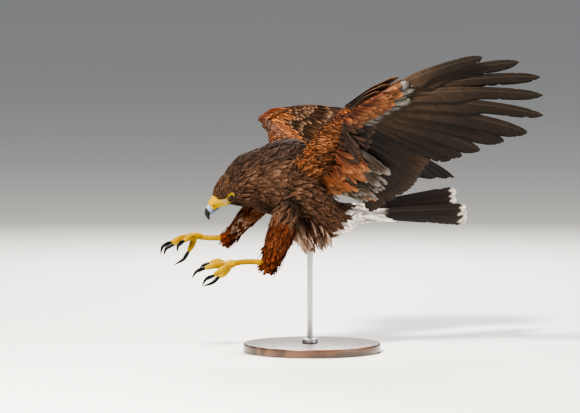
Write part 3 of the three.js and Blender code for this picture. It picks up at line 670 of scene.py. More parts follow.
class Plumage:
    """Feathers of one piece, gathered as grids and turned into one mesh at the end. total is how
    many there will be, grid the rows and columns of each, thick the thickness of a vane and ridge
    the height of its shaft."""

    def __init__(self, name, total=1, grid=(0, 0), thick=0.5, ridge=0.9):
        self.name, self.total, self.grid = name, total, grid
        self.thick, self.ridge = thick, ridge
        self.points, self.faces, self.under = [], [], []
        self.vane, self.span, self.tone, self.rim, self.bake = [], [], [], [], []
        self.count = 0
        self.laid = 0

    def add(self, top, lower, vane, span, tone, rim, bake):
        """Adds F feathers of R rows and C columns. top is (F, R, C, 3) and lower the inner
        points of the underside, (F, R-2, C-2, 3); vane and span are (F, R, C, 3), tone and rim
        (F, 4) or (F, R, C, 4), and bake (F, R, C, 2) above and below."""
        lot, rows, cols = top.shape[:3]
        ids = np.arange(rows * cols).reshape(rows, cols)
        below = ids.copy()
        inner = (rows - 2) * (cols - 2)
        below[1:-1, 1:-1] = rows * cols + np.arange(inner).reshape(rows - 2, cols - 2)
        upper = cells_of(ids)
        faces = np.concatenate([upper, cells_of(below)[:, ::-1]])
        size = rows * cols + inner
        def full(values):
            values = np.asarray(values, float)
            if values.ndim == 2:
                values = np.broadcast_to(values[:, None, None, :], (lot, rows, cols, values.shape[-1]))
            whole = values.reshape(lot, rows * cols, -1)
            middle = values[:, 1:-1, 1:-1].reshape(lot, inner, -1)
            return np.concatenate([whole, middle], 1).reshape(lot * size, -1)
        points = np.concatenate([top.reshape(lot, -1, 3), lower.reshape(lot, -1, 3)], 1)
        starts = self.count + np.arange(lot) * size
        self.points.append(points.reshape(-1, 3))
        self.faces.append((faces[None] + starts[:, None, None]).reshape(-1, 4))
        self.under.append(np.tile(np.repeat([0, 1], len(upper)), lot))
        for kept, values in ((self.vane, vane), (self.span, span), (self.tone, tone), (self.rim, rim)):
            kept.append(full(values))
        above_uv, below_uv = [corners.reshape(lot, -1, 2) for corners in bake]
        above_uv = above_uv[:, upper].reshape(lot, -1, 4, 2)
        below_uv = below_uv[:, upper[:, ::-1]].reshape(lot, -1, 4, 2)
        self.bake.append(np.concatenate([above_uv, below_uv], 1).reshape(-1, 2))
        self.count += lot * size
        self.laid += lot

    def strips(self, rows, cols):
        """UV strips for the next feather's upper side and underside."""
        wide = 1 / (2 * self.total)
        along = np.linspace(*STRIP_ALONG, rows)[:, None] + np.zeros((rows, cols))
        across = np.linspace(*STRIP_ACROSS, cols)[None] * wide + np.zeros((rows, cols))
        return [np.stack([across + (2 * self.laid + side) * wide, along], -1)[None] for side in (0, 1)]

    def lay(self, seat, outline, look, draw, grid=None):
        """Adds one large feather. seat(t) gives the shaft's place, the way to its leading edge,
        the way up, and the widest trailing half that lies clear there."""
        rows, cols = grid or self.grid
        reach = 1 - (1 - np.linspace(0, 1, rows)) ** ROW_CROWD
        at, fore, up, widest = seat(reach)
        lead, trail = profile(outline, reach)
        trail = np.minimum(trail, widest)
        column = np.linspace(-1, 1, cols)
        column = np.sign(column) * np.abs(column) ** COLUMN_CROWD
        aside = np.where(column > 0, lead[:, None] * column, trail[:, None] * column)
        length = np.linalg.norm(at[-1] - at[0])
        slant = np.zeros((rows, cols))
        # Barbs parted at the edges here and there
        for side, most in ((0, look["splits"]), (cols - 1, look["splits"] // 2)):
            for _ in range(most):
                row = draw.randrange(rows // 2, rows - 2)
                deep = draw.uniform(*PARTED)
                aside[row, side] *= 1 - deep
                slant[row, side] -= deep * PARTED_BACK
                slant[min(row + 1, rows - 2), side] += deep * PARTED_FORWARD
        ahead = unit(np.gradient(at, axis=0))
        wave = np.cumsum([draw.gauss(0, WAVER) for _ in range(rows)])
        wave -= np.linspace(wave[0], wave[-1], rows)
        edge = np.abs(column)[None]
        curve = -DROOP * np.abs(aside) * edge + wave[:, None] * edge
        rise = self.ridge * (1 - 0.75 * reach)[:, None] * np.exp(-(aside / SHAFT_WIDTH) ** 2)
        height = curve + rise * 0.5 + self.thick / 2
        top = at[:, None] + fore[:, None] * aside[..., None] + up[:, None] * height[..., None]
        top += ahead[:, None] * slant[..., None]
        lower = top - up[:, None] * (self.thick + rise)[:, :, None]
        along = np.broadcast_to(reach[:, None], (rows, cols))
        across = np.broadcast_to(column, (rows, cols))
        vane = np.stack([across, along, np.full((rows, cols), draw.random())], -1)
        span = np.stack([aside, along * length, np.full((rows, cols), look["bars"])], -1)
        tone = look["tone"](along, across, draw)
        rim = np.broadcast_to(np.array([*look["rim"][:3], look["fringe"]]), (rows, cols, 4))
        self.add(top[None], lower[None, 1:-1, 1:-1], vane[None], span[None], tone[None], rim[None],
                 self.strips(rows, cols))

    def loose(self, root, tip, up, sag, share, look, draw, grid=None):
        """Lays one loose feather from root to tip, its width a share of a covert's."""
        self.lay(straight_seat(root, tip, up, sag), narrowed(COVERT, share), look, draw, grid)

    def mesh(self):
        points = np.concatenate(self.points) * MM
        faces = np.concatenate(self.faces)
        mesh = bpy.data.meshes.new(self.name)
        mesh.vertices.add(len(points))
        mesh.vertices.foreach_set("co", points.astype(np.float32).ravel())
        mesh.loops.add(faces.size)
        mesh.loops.foreach_set("vertex_index", faces.astype(np.int32).ravel())
        mesh.polygons.add(len(faces))
        mesh.polygons.foreach_set("loop_start", np.arange(0, faces.size, 4, dtype=np.int32))
        mesh.polygons.foreach_set("material_index", np.concatenate(self.under).astype(np.int32))
        mesh.polygons.foreach_set("use_smooth", np.ones(len(faces), dtype=bool))
        mesh.update(calc_edges=True)
        for key in ("vane", "span"):
            paint(mesh, key, np.concatenate(getattr(self, key)))
        for key in ("tone", "rim"):
            paint(mesh, key, np.concatenate(getattr(self, key)), "FLOAT_COLOR", "color")
        uv = mesh.uv_layers.new(name="OFBake")
        uv.uv.foreach_set("vector", np.concatenate(self.bake).astype(np.float32).ravel())
        return mesh

    def finish(self, above, below, replaced=()):
        """Puts the feathers in the scene, with a material above and one below."""
        finish_piece(self.name, self.mesh(), (above, below), replaced)


# Wings


LOUVRE = 2.5
STEEPEST = 0.4
OVERLAP = 1.3
NEIGHBOURS = 4
SWEEP = 0.03
CAMBER = 0.03

# Outlines as rows of t, leading width and trailing width
PRIMARY = [
    (0, 2.5, 2.5), (0.3, 7, 22), (0.82, 8.5, 23), (0.9, 7.5, 19), (0.96, 5.5, 12), (0.99, 3.2, 6),
    (1, 0.8, 1),
]
SECONDARY = [
    (0, 2.5, 2.5), (0.35, 9, 19), (0.86, 9.5, 18.5), (0.94, 8.5, 15), (0.98, 5.5, 9), (1, 0.8, 1),
]
COVERT = [(0, 2, 2), (0.3, 7, 8), (0.72, 9.5, 11), (0.88, 8.5, 9.5), (0.96, 5, 6), (1, 0.6, 0.6)]
THUMB = [(0, 2, 2), (0.5, 6, 11), (0.85, 5.4, 9.4), (0.95, 3.6, 5.5), (1, 0.6, 0.6)]


def finger(notch):
    """Outline of a primary whose vanes narrow at the notch."""
    rows = [(0, 2.5, 2.5), (0.2, 6.5, 18), (notch - 0.08, 8.5, 24), (notch - 0.02, 8, 22)]
    rows += [(notch + 0.04, 7.6, 16.5), (0.84, 7.2, 14.5), (0.92, 6, 11.5), (0.97, 3.6, 7), (1, 0.5, 0.8)]
    return rows


def arm_edges(wing):
    """Front and rear edge of a wing's arm, from the body to the wrist."""
    armpit = (ARMPIT[0], wing["side"] * ARMPIT[1], ARMPIT[2])
    return wing["front"][:-2], [armpit, *wing["arm_roots"]]


def wing_outline(i):
    if i >= FIRST_FINGER:
        return finger(FINGER_NOTCHES[i - FIRST_FINGER])
    return PRIMARY if i >= FIRST_HAND else SECONDARY


def quill(wing, i):
    """Root and tip of the feather numbered i, which may lie between two feathers."""
    def ends(part, t):
        return smooth(wing[part + "_roots"], t), smooth(wing[part + "_tips"], t)
    if i <= LAST_ARM:
        return ends("arm", i / LAST_ARM)
    if i >= FIRST_HAND:
        return ends("hand", (i - FIRST_HAND) / (LAST_FEATHER - FIRST_HAND))
    return tuple(blend(a, b, i - LAST_ARM) for a, b in zip(ends("arm", 1.0), ends("hand", 0.0)))


def wing_seat(wing, i, reach, lift=0.0):
    """Seats along a feather of a wing, reach running from 0 at its root to 1 at its tip."""
    root, tip = quill(wing, i)
    along = tip - root
    length = np.linalg.norm(along)
    ahead = along / length
    def across(aside):
        low, high = max(i - aside, 0), min(i + aside, LAST_FEATHER)
        inner, outer = [blend(*quill(wing, k), reach[:, None]) for k in (low, high)]
        return (outer - inner) / (high - low)
    span = across(NEIGHBOURS)
    fore = unit(span - (span @ ahead)[:, None] * ahead)
    up = np.cross(fore, ahead) * -wing["side"]
    bend = 4 * reach * (1 - reach) * length
    at = root + reach[:, None] * along + fore * (SWEEP * bend)[:, None]
    at = at + up * (CAMBER * bend + lift)[:, None]
    apart = np.linalg.norm(across(0.5), axis=1)
    tilt = np.minimum(STEEPEST, LOUVRE / apart)[:, None]
    leading = fore * np.cos(tilt) + up * np.sin(tilt)
    return at, leading, up * np.cos(tilt) - fore * np.sin(tilt), OVERLAP * apart


def gradient(near, far, low, high, speckle=0.0):
    """A tone that turns from one colour near the root into another near the tip."""
    near, far = np.array(near), np.array(far)
    def tone(along, across, draw):
        share = ramp(low, high, along)[..., None]
        light = 1 + speckle * (draw.random() - 0.5)
        color = blend(near, far, share) * light
        color[..., 3] = 1
        return color
    return tone


# Tiers of coverts: every how many feathers, height over the shafts at the root and at the tip,
# where they start along the flight feather, their length on the arm and on the hand in its
# lengths, a share of the full width, the names of their looks from the body outwards, and the
# flight feathers where the next look begins
COVERT_TIERS = [
    (1.0, 1.8, 3.0, -0.04, 0.46, 0.36, 1.0, ("dusk",), ()),
    (0.9, 3.0, 4.6, -0.06, 0.34, 0.27, 0.9, ("scaled",), ()),
    (0.7, 4.0, 6.0, -0.08, 0.26, 0.2, 0.72, ("rust", "scaled"), (13,)),
    (0.6, 4.8, 6.8, -0.09, 0.2, 0.16, 0.6, ("rust", "scaled"), (16,)),
    (0.5, 5.4, 7.4, -0.1, 0.145, 0.13, 0.5, ("rust", "scaled"), (18,)),
    (0.42, 6.0, 7.8, -0.11, 0.1, 0.1, 0.42, ("rust", "scaled"), (20,)),
    # The dark looks of the lower tiers on the arm are painted shade, darkening the lining where it lies in
    # shadow
    (1.0, -2.6, -5.6, -0.04, 0.34, 0.26, 1.0, ("shadow", "ash"), (12,)),
    (0.8, -3.4, -7.0, -0.05, 0.22, 0.19, 0.75, ("shadow", "lining"), (11.5,)),
    (0.6, -4.2, -8.2, -0.05, 0.15, 0.15, 0.6, ("lining", "painted_shade", "lining"), (5, 11)),
    (0.45, -5.0, -9.0, -0.06, 0.1, 0.12, 0.45, ("lining", "painted_shade", "lining"), (5.5, 10.5)),
]


# The coverts over the innermost flight feathers are longer
INNER_COVERTS = 2.2
INNER_LENGTH = 1.25
# How a covert strays from its tier: shares of its length, the feathers over which looks mix, its
# root in feathers and the height of its tip in millimetres
COVERT_LENGTHS = (0.88, 1.12)
LOOK_STRAY = 1
ROOT_STRAY = 0.25
TIP_STRAY = 0.3


def palette():
    """Looks of the large feathers: tone, fringe colour and strength, bars and parted barbs."""
    p = bpy.context.scene.hawk_colours
    brown, rust = np.array([*p.feather, 1]), np.array([*p.rufous, 1])
    pale, grey = np.array([*p.fringe, 1]), np.array([*p.vane, 1])
    cream = np.array([*p.vent, 1])
    def look(near, far, low, high, rim, fringe, bars=0.1, splits=3, speckle=0.25):
        tone = gradient(near, far, low, high, speckle)
        return {"tone": tone, "rim": rim, "fringe": fringe, "bars": bars, "splits": splits}
    return {
        # The primaries' dark rim is painted shade along the edges where they overlap
        "primary": look(grey * 2.1, grey * 0.42, 0.15, 0.7, grey * 0.25, 0.5, 0.15, 3, 0.3),
        "secondary": look(grey * 0.55, grey * 0.6, 0.2, 0.9, grey * 2.2, 0.35, 0.15, 4, 0.3),
        # Painted shade: the outermost secondaries, next to the hand, darkened as if in its shadow
        "shaded": look(grey * 0.16, grey * 0.42, 0.3, 0.95, pale * 0.5, 0.2, 0.0, 4),
        "tertial": look(grey * 0.75, grey * 0.6, 0.2, 0.9, grey * 1.6, 0.3, 0.1, 6, 0.5),
        "dusk": look(brown * 0.7, brown * 0.5, 0.2, 0.9, pale * 0.7, 0.4, 0.1, 3),
        "scaled": look(brown * 0.4, brown * 0.2, 0.2, 0.8, blend(pale, cream, 0.08), 0.5, 0.0, 2, 1.0),
        "rust": look(rust, blend(rust * 1.8, pale, 0.4), 0.3, 0.9, pale * 1.1, 0.35, 0.0, 2, 1.0),
        "lining": look(rust * 0.6, blend(rust, pale, 0.3), 0.3, 0.9, pale * 0.8, 0.3, 0.1, 4, 1.3),
        # Painted shade: dark looks for the coverts and tufts under the arm that lie in shadow
        "shadow": look(grey * 0.45, grey * 0.3, 0.3, 0.85, pale * 0.5, 0.2, 0.2, 3, 0.5),
        "painted_shade": look(brown * 0.4, brown * 0.6, 0.3, 0.9, rust * 0.9, 0.35, 0.1, 3, 0.6),
        "ash": look(grey * 1.1, cream * 0.12, 0.2, 0.8, grey * 0.3, 0.9, 0.2, 2, 0.3),
        "rectrix": look(brown * 0.6, brown * 0.3, 0.2, 0.6, brown * 0.7, 0.25, 0.1, 5),
        "tailwhite": look(cream, cream * 1.05, 0.2, 0.9, cream * 1.1, 0.4, 0.0, 5, 0.12),
        "thumb": look(grey * 0.9, grey * 0.6, 0.2, 0.8, pale * 1.6, 0.3, 0.1, 3),
        "axillar": look(rust * 0.9, blend(rust * 1.2, pale, 0.15), 0.2, 0.8, pale * 1.4, 0.45, 0.1, 8, 0.9),
        "heel": look(rust * 0.5, rust * 0.75, 0.2, 0.9, rust * 1.6, 0.4, 0.3, 4, 0.9),
        "skirt": look(brown * 0.7, brown * 1.6, 0.2, 0.9, pale, 0.5, 0.0, 6, 1.0),
        "skirt_pale": look(brown * 1.5, blend(pale, cream, 0.2), 0.2, 0.8, blend(pale, cream, 0.5),
                           0.7, 0.0, 6, 0.9),
        "fluff": look(cream * 0.15, grey * 1.3, 0.15, 0.7, cream * 0.34, 0.55, 0.1, 8, 1.1),
    }


AXILLARS = 9
THUMB_FEATHERS = 3
AXILLAR_GRID = (20, 5)
THUMB_GRID = (30, 7)
# The way that the upper faces of the loose feathers under a wing look: back, inwards and up
UNDER_WING = (0.3, 0.6, 0.7)


def flight_look(i):
    """The name of the look of the flight feather numbered i."""
    if i >= FIRST_HAND:
        return "primary"
    # The outermost secondaries, next to the hand, get the look with painted shade
    return "shaded" if i > 9 else "secondary" if i > 2 else "tertial"


def flight_feathers(name, wing, draw):
    """The flight feathers of a wing and the three of its thumb."""
    side = wing["side"]
    looks = palette()
    coat = Plumage(f"flight_feathers_{name}", LAST_FEATHER + 1 + THUMB_FEATHERS, (56, 9))
    for i in range(LAST_FEATHER + 1):
        coat.lay(lambda t: wing_seat(wing, i, t), wing_outline(i), looks[flight_look(i)], draw)
    root, tip = [np.array(end, float) for end in wing["thumb"]]
    up = unit(np.array([0.24, -side * 0.6, 0.7]))
    for k in range(THUMB_FEATHERS):
        back = np.array([3 * k, side * k, -2 * k]) - 1.4 * k * up
        seat = straight_seat(root + back, blend(tip, root, 0.2 * k) + back, up, 2)
        coat.lay(seat, THUMB, looks["thumb"], draw, THUMB_GRID)
    coat.finish("vane_upper", "vane_under", (f"wing_{name}", f"hand_{name}"))


def wing_coverts(name, wing, draw):
    """The tiers of coverts on both faces of a wing, and the long soft feathers of its pit."""
    side = wing["side"]
    looks = palette()
    total = sum(int((LAST_FEATHER + 1) / tier[0]) + 1 for tier in COVERT_TIERS) + AXILLARS + 3
    coat = Plumage(f"wing_coverts_{name}", total, (14, 5), 0.4, 0.5)
    for every, low, high, start, arm, hand, wide, names, changes in COVERT_TIERS:
        outline = narrowed(COVERT, wide)
        i = every * 0.25
        while i < LAST_FEATHER + 0.2:
            share = ramp(LAST_ARM - 1.0, FIRST_HAND + 1.0, i)
            length = blend(arm, hand, share) * draw.uniform(*COVERT_LENGTHS)
            about = i + draw.uniform(-LOOK_STRAY, LOOK_STRAY)
            look = looks[names[sum(about > change for change in changes)]]
            if i < INNER_COVERTS:
                length *= INNER_LENGTH
            spot = min(max(i + draw.uniform(-ROOT_STRAY, ROOT_STRAY), 0), LAST_FEATHER)
            extra = draw.uniform(-TIP_STRAY, TIP_STRAY)
            def seat(t):
                return wing_seat(wing, spot, start + t * length, blend(low, high, t) + extra * t)
            coat.lay(seat, outline, look, draw)
            i += every
    front, rear = arm_edges(wing)
    up = np.array([UNDER_WING[0], -side * UNDER_WING[1], UNDER_WING[2]])
    for k in range(AXILLARS):
        along = 0.3 + 0.02 * k
        root = blend(smooth(front, along), smooth(rear, along), 0.55)
        tip = [20 + 9.5 * k, side * (57 + 1.4 * k), 288 - 1.2 * k + draw.uniform(-3, 3)]
        coat.loose(root, tip, up, 3, 1, looks["axillar"], draw, AXILLAR_GRID)
    coat.finish("covert_upper", "vane_under")


# Loose feathers under the wing: root and tip of the first and of the last, how many, their
# width and their look
PIT_TUFTS = [
    ((-30, 40, 330), (-44, 60, 352), (24, 62, 296), (52, 92, 312), 12, 0.8, "axillar"),
    ((-38, 52, 346), (-30, 86, 378), (40, 84, 316), (66, 104, 340), 12, 0.75, "axillar"),
    ((-20, 44, 328), (-16, 60, 344), (40, 60, 292), (72, 78, 306), 11, 0.6, "fluff"),
    ((-6, 60, 332), (8, 84, 346), (74, 62, 270), (104, 84, 296), 14, 0.7, "fluff"),
    ((10, 72, 340), (34, 92, 356), (70, 70, 282), (118, 92, 300), 12, 0.8, "fluff"),
    ((-30, 42, 322), (-34, 56, 340), (28, 58, 288), (52, 74, 300), 9, 1.0, "axillar"),
]


# Loose feathers over the inner lining: the flight feathers over which the first and the last root
# and end, how far along these and how far below them, how many, their width and their look
LINING_TUFTS = [
    ((6.5, 4.5), (5.2, 3.2), (-0.03, 0.3), (-7, -19), 8, 0.8, "axillar"),
    ((4.5, 0.5), (3.4, -0.2), (-0.03, 0.36), (-7, -20), 12, 0.9, "axillar"),
    ((7.0, 1.0), (5.6, 0.2), (0.02, 0.56), (-6, -16), 17, 0.8, "fluff"),
    # The dark tufts are painted shade in the hollow between the lining and the secondaries
    ((10.0, 6.0), (8.6, 5.0), (0.0, 0.2), (-8, -16), 15, 0.6, "painted_shade"),
    ((6.0, 1.0), (4.6, 0.0), (-0.08, 0.17), (-9, -18), 13, 0.7, "axillar"),
]


def pit_feathers(name, wing):
    """Loose feathers between the wing and the body, and over the inner lining."""
    side = wing["side"]
    looks = palette()
    draw = random.Random(f"pit {name}")
    total = sum(2 * tuft[4] for tuft in PIT_TUFTS) + sum(tuft[4] for tuft in LINING_TUFTS)
    coat = Plumage(f"wing_pit_{name}", total, (16, 5), 0.35, 0.5)
    for *corners, count, wide, key in PIT_TUFTS:
        ends = [np.array([x, side * y, z], float) for x, y, z in corners]
        for k in range(2 * count):
            t = (k % count + 0.5) / count
            astray = np.array([draw.gauss(0, 4), draw.gauss(0, 3), draw.gauss(0, 4)])
            root = blend(ends[0], ends[1], t) + astray * 0.7
            tip = blend(ends[2], ends[3], t) + astray * 1.6
            tip = blend(root, tip, draw.uniform(0.65, 1.05))
            ahead, aside, over = UNDER_WING
            up = np.array([ahead + draw.gauss(0, 0.2), -side * aside, over + draw.gauss(0, 0.2)])
            coat.loose(root, tip, up, draw.uniform(-2, 4), wide * draw.uniform(0.7, 1.1), looks[key], draw)
    for roots, tips, reaches, lifts, count, wide, key in LINING_TUFTS:
        for k in range(count):
            t = (k + draw.random()) / count
            ends = []
            for (first, last), reach, lift in zip((roots, tips), reaches, lifts):
                reach = np.array([reach * draw.uniform(0.7, 1.2)])
                place = max(blend(first, last, t) + draw.gauss(0, 0.3 + 0.1 * abs(lift) * 0.5), 0)
                at, _, up, _ = wing_seat(wing, place, reach, lift + draw.uniform(-3, 2))
                ends.append(at[0])
            up = up[0] + stray(draw, 0.25)
            coat.loose(*ends, up, draw.uniform(-3, 4), wide * draw.uniform(0.6, 1.25), looks[key], draw)
    coat.finish("vane_upper", "vane_under")


def wing_pieces(name):
    wing = WINGS[name]
    draw = random.Random(f"wing {name}")
    flight_feathers(name, wing, draw)
    wing_coverts(name, wing, draw)
    pit_feathers(name, wing)


# Tail


TAIL_LAYER = 1.9
TAIL_ROOT_STEP = 2.6
TAIL_ROOT_LAYER = 0.8
RECTRIX = [(0, 2, 2), (0.3, 7, 13), (0.9, 11, 22), (0.95, 10, 19), (0.985, 7, 12), (1, 1, 1.5)]
TAIL_COVERT = [(0, 3, 3), (0.4, 8, 8), (0.7, 11, 11), (0.9, 8, 8), (1, 0.6, 0.6)]


def tail_step(half, reach):
    return blend(TAIL_ROOT_STEP, half["spread"], reach)


def tail_seat(half, place, reach, lift=0.0):
    """Seats along the tail feather at a place counted from the middle pair outwards."""
    side = half["side"]
    step = tail_step(half, reach)
    whole = math.floor(place)
    across, rise = 0 * reach, 0 * reach
    for k in range(whole + 1):
        share = place - whole + 0.5 if k == whole else 1
        tilt = math.radians(half["first_tilt"] + half["tilt_step"] * k)
        across = across + share * step * math.cos(tilt)
        rise = rise + share * step * math.sin(tilt)
    tilt = math.radians(half["first_tilt"] + half["tilt_step"] * place)
    up = np.array([0, -side * math.sin(tilt), math.cos(tilt)])
    fore = np.array([0, side * math.cos(tilt), math.sin(tilt)])
    aside = side * across + reach * TAIL_SWING
    shift = np.stack([reach * TAIL_LENGTH, aside, rise - reach * TAIL_DROP], -1)
    depth = lift - blend(TAIL_ROOT_LAYER, TAIL_LAYER, reach) * place
    at = np.array(TAIL_ROOT) + shift + up * np.reshape(depth, (-1, 1))
    return at, fore + 0 * at, up + 0 * at, np.full(len(reach), FREE)


def banded(base, tip_color, dark):
    """The tone of a tail feather: a white base, a dark band and a white end."""
    base, tip_color, dark = np.array(base), np.array(tip_color), np.array(dark)
    def tone(along, across, draw):
        wave = 0.015 * np.sin(7 * across + 6 * draw.random())
        # Only wear here: the white end is worn back a little at random
        wear_and_light = draw.uniform(-0.012, 0.03)
        color = blend(base, dark, ramp(0.2, 0.32, along + wave)[..., None])
        color = blend(color, tip_color, ramp(0.94, 0.96, along + wave - wear_and_light)[..., None])
        color[..., 3] = 1
        return color
    return tone


# Tiers of tail coverts: height over the shafts, start and length in shares of the tail, and how
# far apart they root
TAIL_COVERT_TIERS = [
    (-9, 0.02, 0.34, 0.55), (-7, 0.0, 0.27, 0.6), (-10, -0.02, 0.22, 0.7), (6, 0.0, 0.22, 0.7),
    (7, -0.03, 0.16, 0.75),
]
TAIL_COVERTS_A_TIER = 12
TAIL_COVERT_WIDTH = 0.75
TAIL_FEATHERS_A_SIDE = 6


def tail_pieces():
    looks = palette()
    p = bpy.context.scene.hawk_colours
    cream, brown = np.array([*p.vent, 1]), np.array([*p.feather, 1])
    band = dict(looks["rectrix"], tone=banded(cream, cream * 0.85, brown * 0.13), splits=12)
    draw = random.Random("tail")
    coat = Plumage("tail_feathers", 2 * TAIL_FEATHERS_A_SIDE, (60, 9), 0.6, 1.2)
    for half in TAIL_SIDES:
        for j in range(TAIL_FEATHERS_A_SIDE):
            length = 1 - half["shorten"] * j / TAIL_LENGTH - 0.015 * draw.random()
            widest = (j + 0.5) * tail_step(half, np.linspace(0, 1, len(RECTRIX)))
            outline = [(t, lead, min(trail, most)) for (t, lead, trail), most in zip(RECTRIX, widest)]
            coat.lay(lambda t: tail_seat(half, j, t * length), outline, band, draw)
    coat.finish("tail_upper", "tail_under", ("tail",))

    total = 2 * len(TAIL_COVERT_TIERS) * TAIL_COVERTS_A_TIER
    coat = Plumage("tail_coverts", total, (18, 5), 0.4, 0.5)
    outline = narrowed(TAIL_COVERT, TAIL_COVERT_WIDTH)
    for half in TAIL_SIDES:
        for lift, first, length, step in TAIL_COVERT_TIERS:
            for k in range(TAIL_COVERTS_A_TIER):
                place = 0.1 + 0.67 * k * step
                # The middle ones reach farther than those at the sides
                reach = length * draw.uniform(0.8, 1.0) * (1.25 - 0.15 * place)
                def seat(t):
                    rise = lift * (0.6 + 1.2 * t * (1 - t) - 0.15 * t) + 0.25 * (k % 2)
                    return tail_seat(half, place, first + t * reach, rise)
                coat.lay(seat, outline, looks["tailwhite"], draw)
    coat.finish("down_feather", "down_feather")


# Body: skin and contour feathers


SKIN_VOXEL = 2.2
SKIN_PASSES = 6
FINE_PASSES = 4
# Feathers of the thigh root from here on along its sections
THIGH_STARTS = 0.16
# How far feathers that lie across a wing's arm also point outwards
OUTWARDS = 0.75


def mirrored(rows):
    return [(x, -y, *rest) for x, y, *rest in rows]


def flesh():
    """Every round or flat body of the hawk: name, place function and the way feathers lie."""
    bodies = [
        ("torso", round_place(TORSO, upright=True, depth=4.0), "back"),
        ("neck", round_place(NECK, upright=True, depth=3.4), "front"),
        ("nape", round_place(NAPE, upright=True, depth=2.2), "front"),
        ("skull", round_place(SKULL, upright=True, depth=1.7, headed=True), "front"),
        ("brow_right", round_place(BROW, depth=0.9, headed=True), "front"),
        ("brow_left", round_place(mirrored(BROW), depth=0.9, headed=True), "front"),
        ("stump", round_place(TAIL_STUMP, depth=2.0), "back"),
    ]
    for name, leg in LEGS.items():
        bodies.append(("thigh_" + name, round_place(leg["thigh"], depth=3.2), "back"))
    for name, wing in WINGS.items():
        front, rear = arm_edges(wing)
        before, wrist, *hand = np.array(wing["front"][-4:], float)
        hand_front = [(before + wrist) / 2, wrist, *hand]
        hand_rear = [np.sum(wing["arm_roots"][-2:], axis=0) / 2, *wing["hand_roots"]]
        bodies.append(("arm_" + name, sheet_place(front, rear, ARM_DEPTHS, 3.0), "across"))
        bodies.append(("hand_" + name, sheet_place(hand_front, hand_rear, HAND_DEPTHS, 2.6), "across"))
    return bodies


def remeshed(mesh, voxel, passes):
    """One even closed mesh over balls that overlap, smoothed in a few passes."""
    holder = bpy.data.objects.new("holder", mesh)
    bpy.context.collection.objects.link(holder)
    remesh = holder.modifiers.new("Remesh", "REMESH")
    remesh.mode = "VOXEL"
    remesh.voxel_size = voxel * MM
    remesh.use_smooth_shade = True
    even = holder.modifiers.new("Smooth", "SMOOTH")
    even.factor = 0.5
    even.iterations = passes
    depsgraph = bpy.context.evaluated_depsgraph_get()
    closed = bpy.data.meshes.new_from_object(holder.evaluated_get(depsgraph))
    closed.name = mesh.name
    bpy.data.objects.remove(holder)
    return closed


def skin_mesh():
    """One closed skin over all the bodies, a coat's depth below the feathers' surface."""
    bm = bmesh.new()
    for _, place, _ in flesh():
        add_ball(bm, place, 40, 28)
    return remeshed(mesh_of(bm, "skin"), SKIN_VOXEL, SKIN_PASSES)


class Flow:
    """Which body a place on the skin belongs to, how its feathers lie and where on an unwrap
    of that body it is."""

    def __init__(self):
        bodies = flesh()
        self.names = [name for name, _, _ in bodies]
        rows, around = 61, 64
        t = np.repeat(np.linspace(0.01, 0.99, rows), around)
        angle = np.tile(np.arange(around) / around * TURN, rows)
        across, over = np.sin(angle), np.cos(angle)
        at, lie, body, where = [], [], [], []
        for number, (name, place, way) in enumerate(bodies):
            def step(along, aside, upward, dt, da):
                return place(along + dt, aside + da, upward) - place(along - dt, aside - da, upward)
            if way == "across":
                outward = unit(step(t, 0 * across, 0 * over, 0.02, 0))
                flow = unit(step(t, 0 * across, 0 * over, 0, 0.05)) + OUTWARDS * outward
            else:
                flow = step(t, across, over, 0.02, 0) * (-1 if way == "front" else 1)
            keep = t > (THIGH_STARTS if name.startswith("thigh") else 0)
            at.append(place(t, across, over)[keep])
            lie.append(unit(flow)[keep])
            body.append(np.full(keep.sum(), number))
            where.append(np.stack([t, angle / TURN], -1)[keep])
        self.lie, self.body, self.where = [np.concatenate(parts) for parts in (lie, body, where)]
        spots = np.concatenate(at)
        self.tree = KDTree(len(spots))
        for k, spot in enumerate(spots):
            self.tree.insert(spot, k)
        self.tree.balance()

    def at_place(self, spot):
        near = self.tree.find_n(spot, 10)
        weights = [1 / (distance + 1.0) for _, _, distance in near]
        lie = sum(self.lie[k] * w for (_, k, _), w in zip(near, weights))
        k = near[0][1]
        return self.names[self.body[k]], self.where[k], lie


HEAD_INVERSE = np.array(head_matrix().inverted())


def to_head(point):
    """A point of the hawk in the head's own frame."""
    return HEAD_INVERSE[:3, :3] @ np.asarray(point) + HEAD_INVERSE[:3, 3]


def all_to_head(points):
    """Points of the hawk, one to a row, in the head's own frame."""
    return points @ HEAD_INVERSE[:3, :3].T + HEAD_INVERSE[:3, 3]


def eye_gap(local):
    """How far a point of the head's frame lies from the line through both eyes."""
    return math.hypot(local[0], local[2])


# Regions of the coat: spacing of the roots, length and width of a feather, how far its tip
# stands off the skin and how far it may turn aside, in millimetres and degrees, and its piece
REGIONS = {
    "back": (4.8, 31, 10.5, 2.4, 9, "coat_back"),
    "breast": (4.6, 29, 9.0, 3.0, 13, "coat_breast"),
    "flank": (4.5, 31, 8.6, 3.6, 16, "coat_flanks"),
    "vent": (4.2, 31, 8.4, 3.2, 14, "coat_vent"),
    "neck": (3.3, 21, 5.6, 2.0, 10, "coat_neck"),
    "nape": (2.3, 13, 3.8, 1.3, 9, "coat_head"),
    "crown": (1.75, 8.6, 2.6, 0.7, 8, "coat_head"),
    "face": (1.25, 4.6, 1.6, 0.4, 9, "coat_head"),
    "thigh": (3.2, 20, 5.2, 2.8, 11, "coat_thighs"),
    "heel": (2.7, 14, 4.2, 2.2, 13, "coat_thighs"),
    "shoulder": (3.0, 14, 5.4, 1.6, 9, "coat_wings"),
    "lesser": (2.9, 13, 5.2, 1.4, 9, "coat_wings"),
    "lining": (3.4, 22, 5.4, 1.8, 9, "coat_wings"),
    "edge": (2.6, 9, 4.0, 0.9, 7, "coat_wings"),
}
# Pieces with small feathers, which have three columns of points instead of five
SMALL_FEATHERED = ("coat_head", "coat_wings")
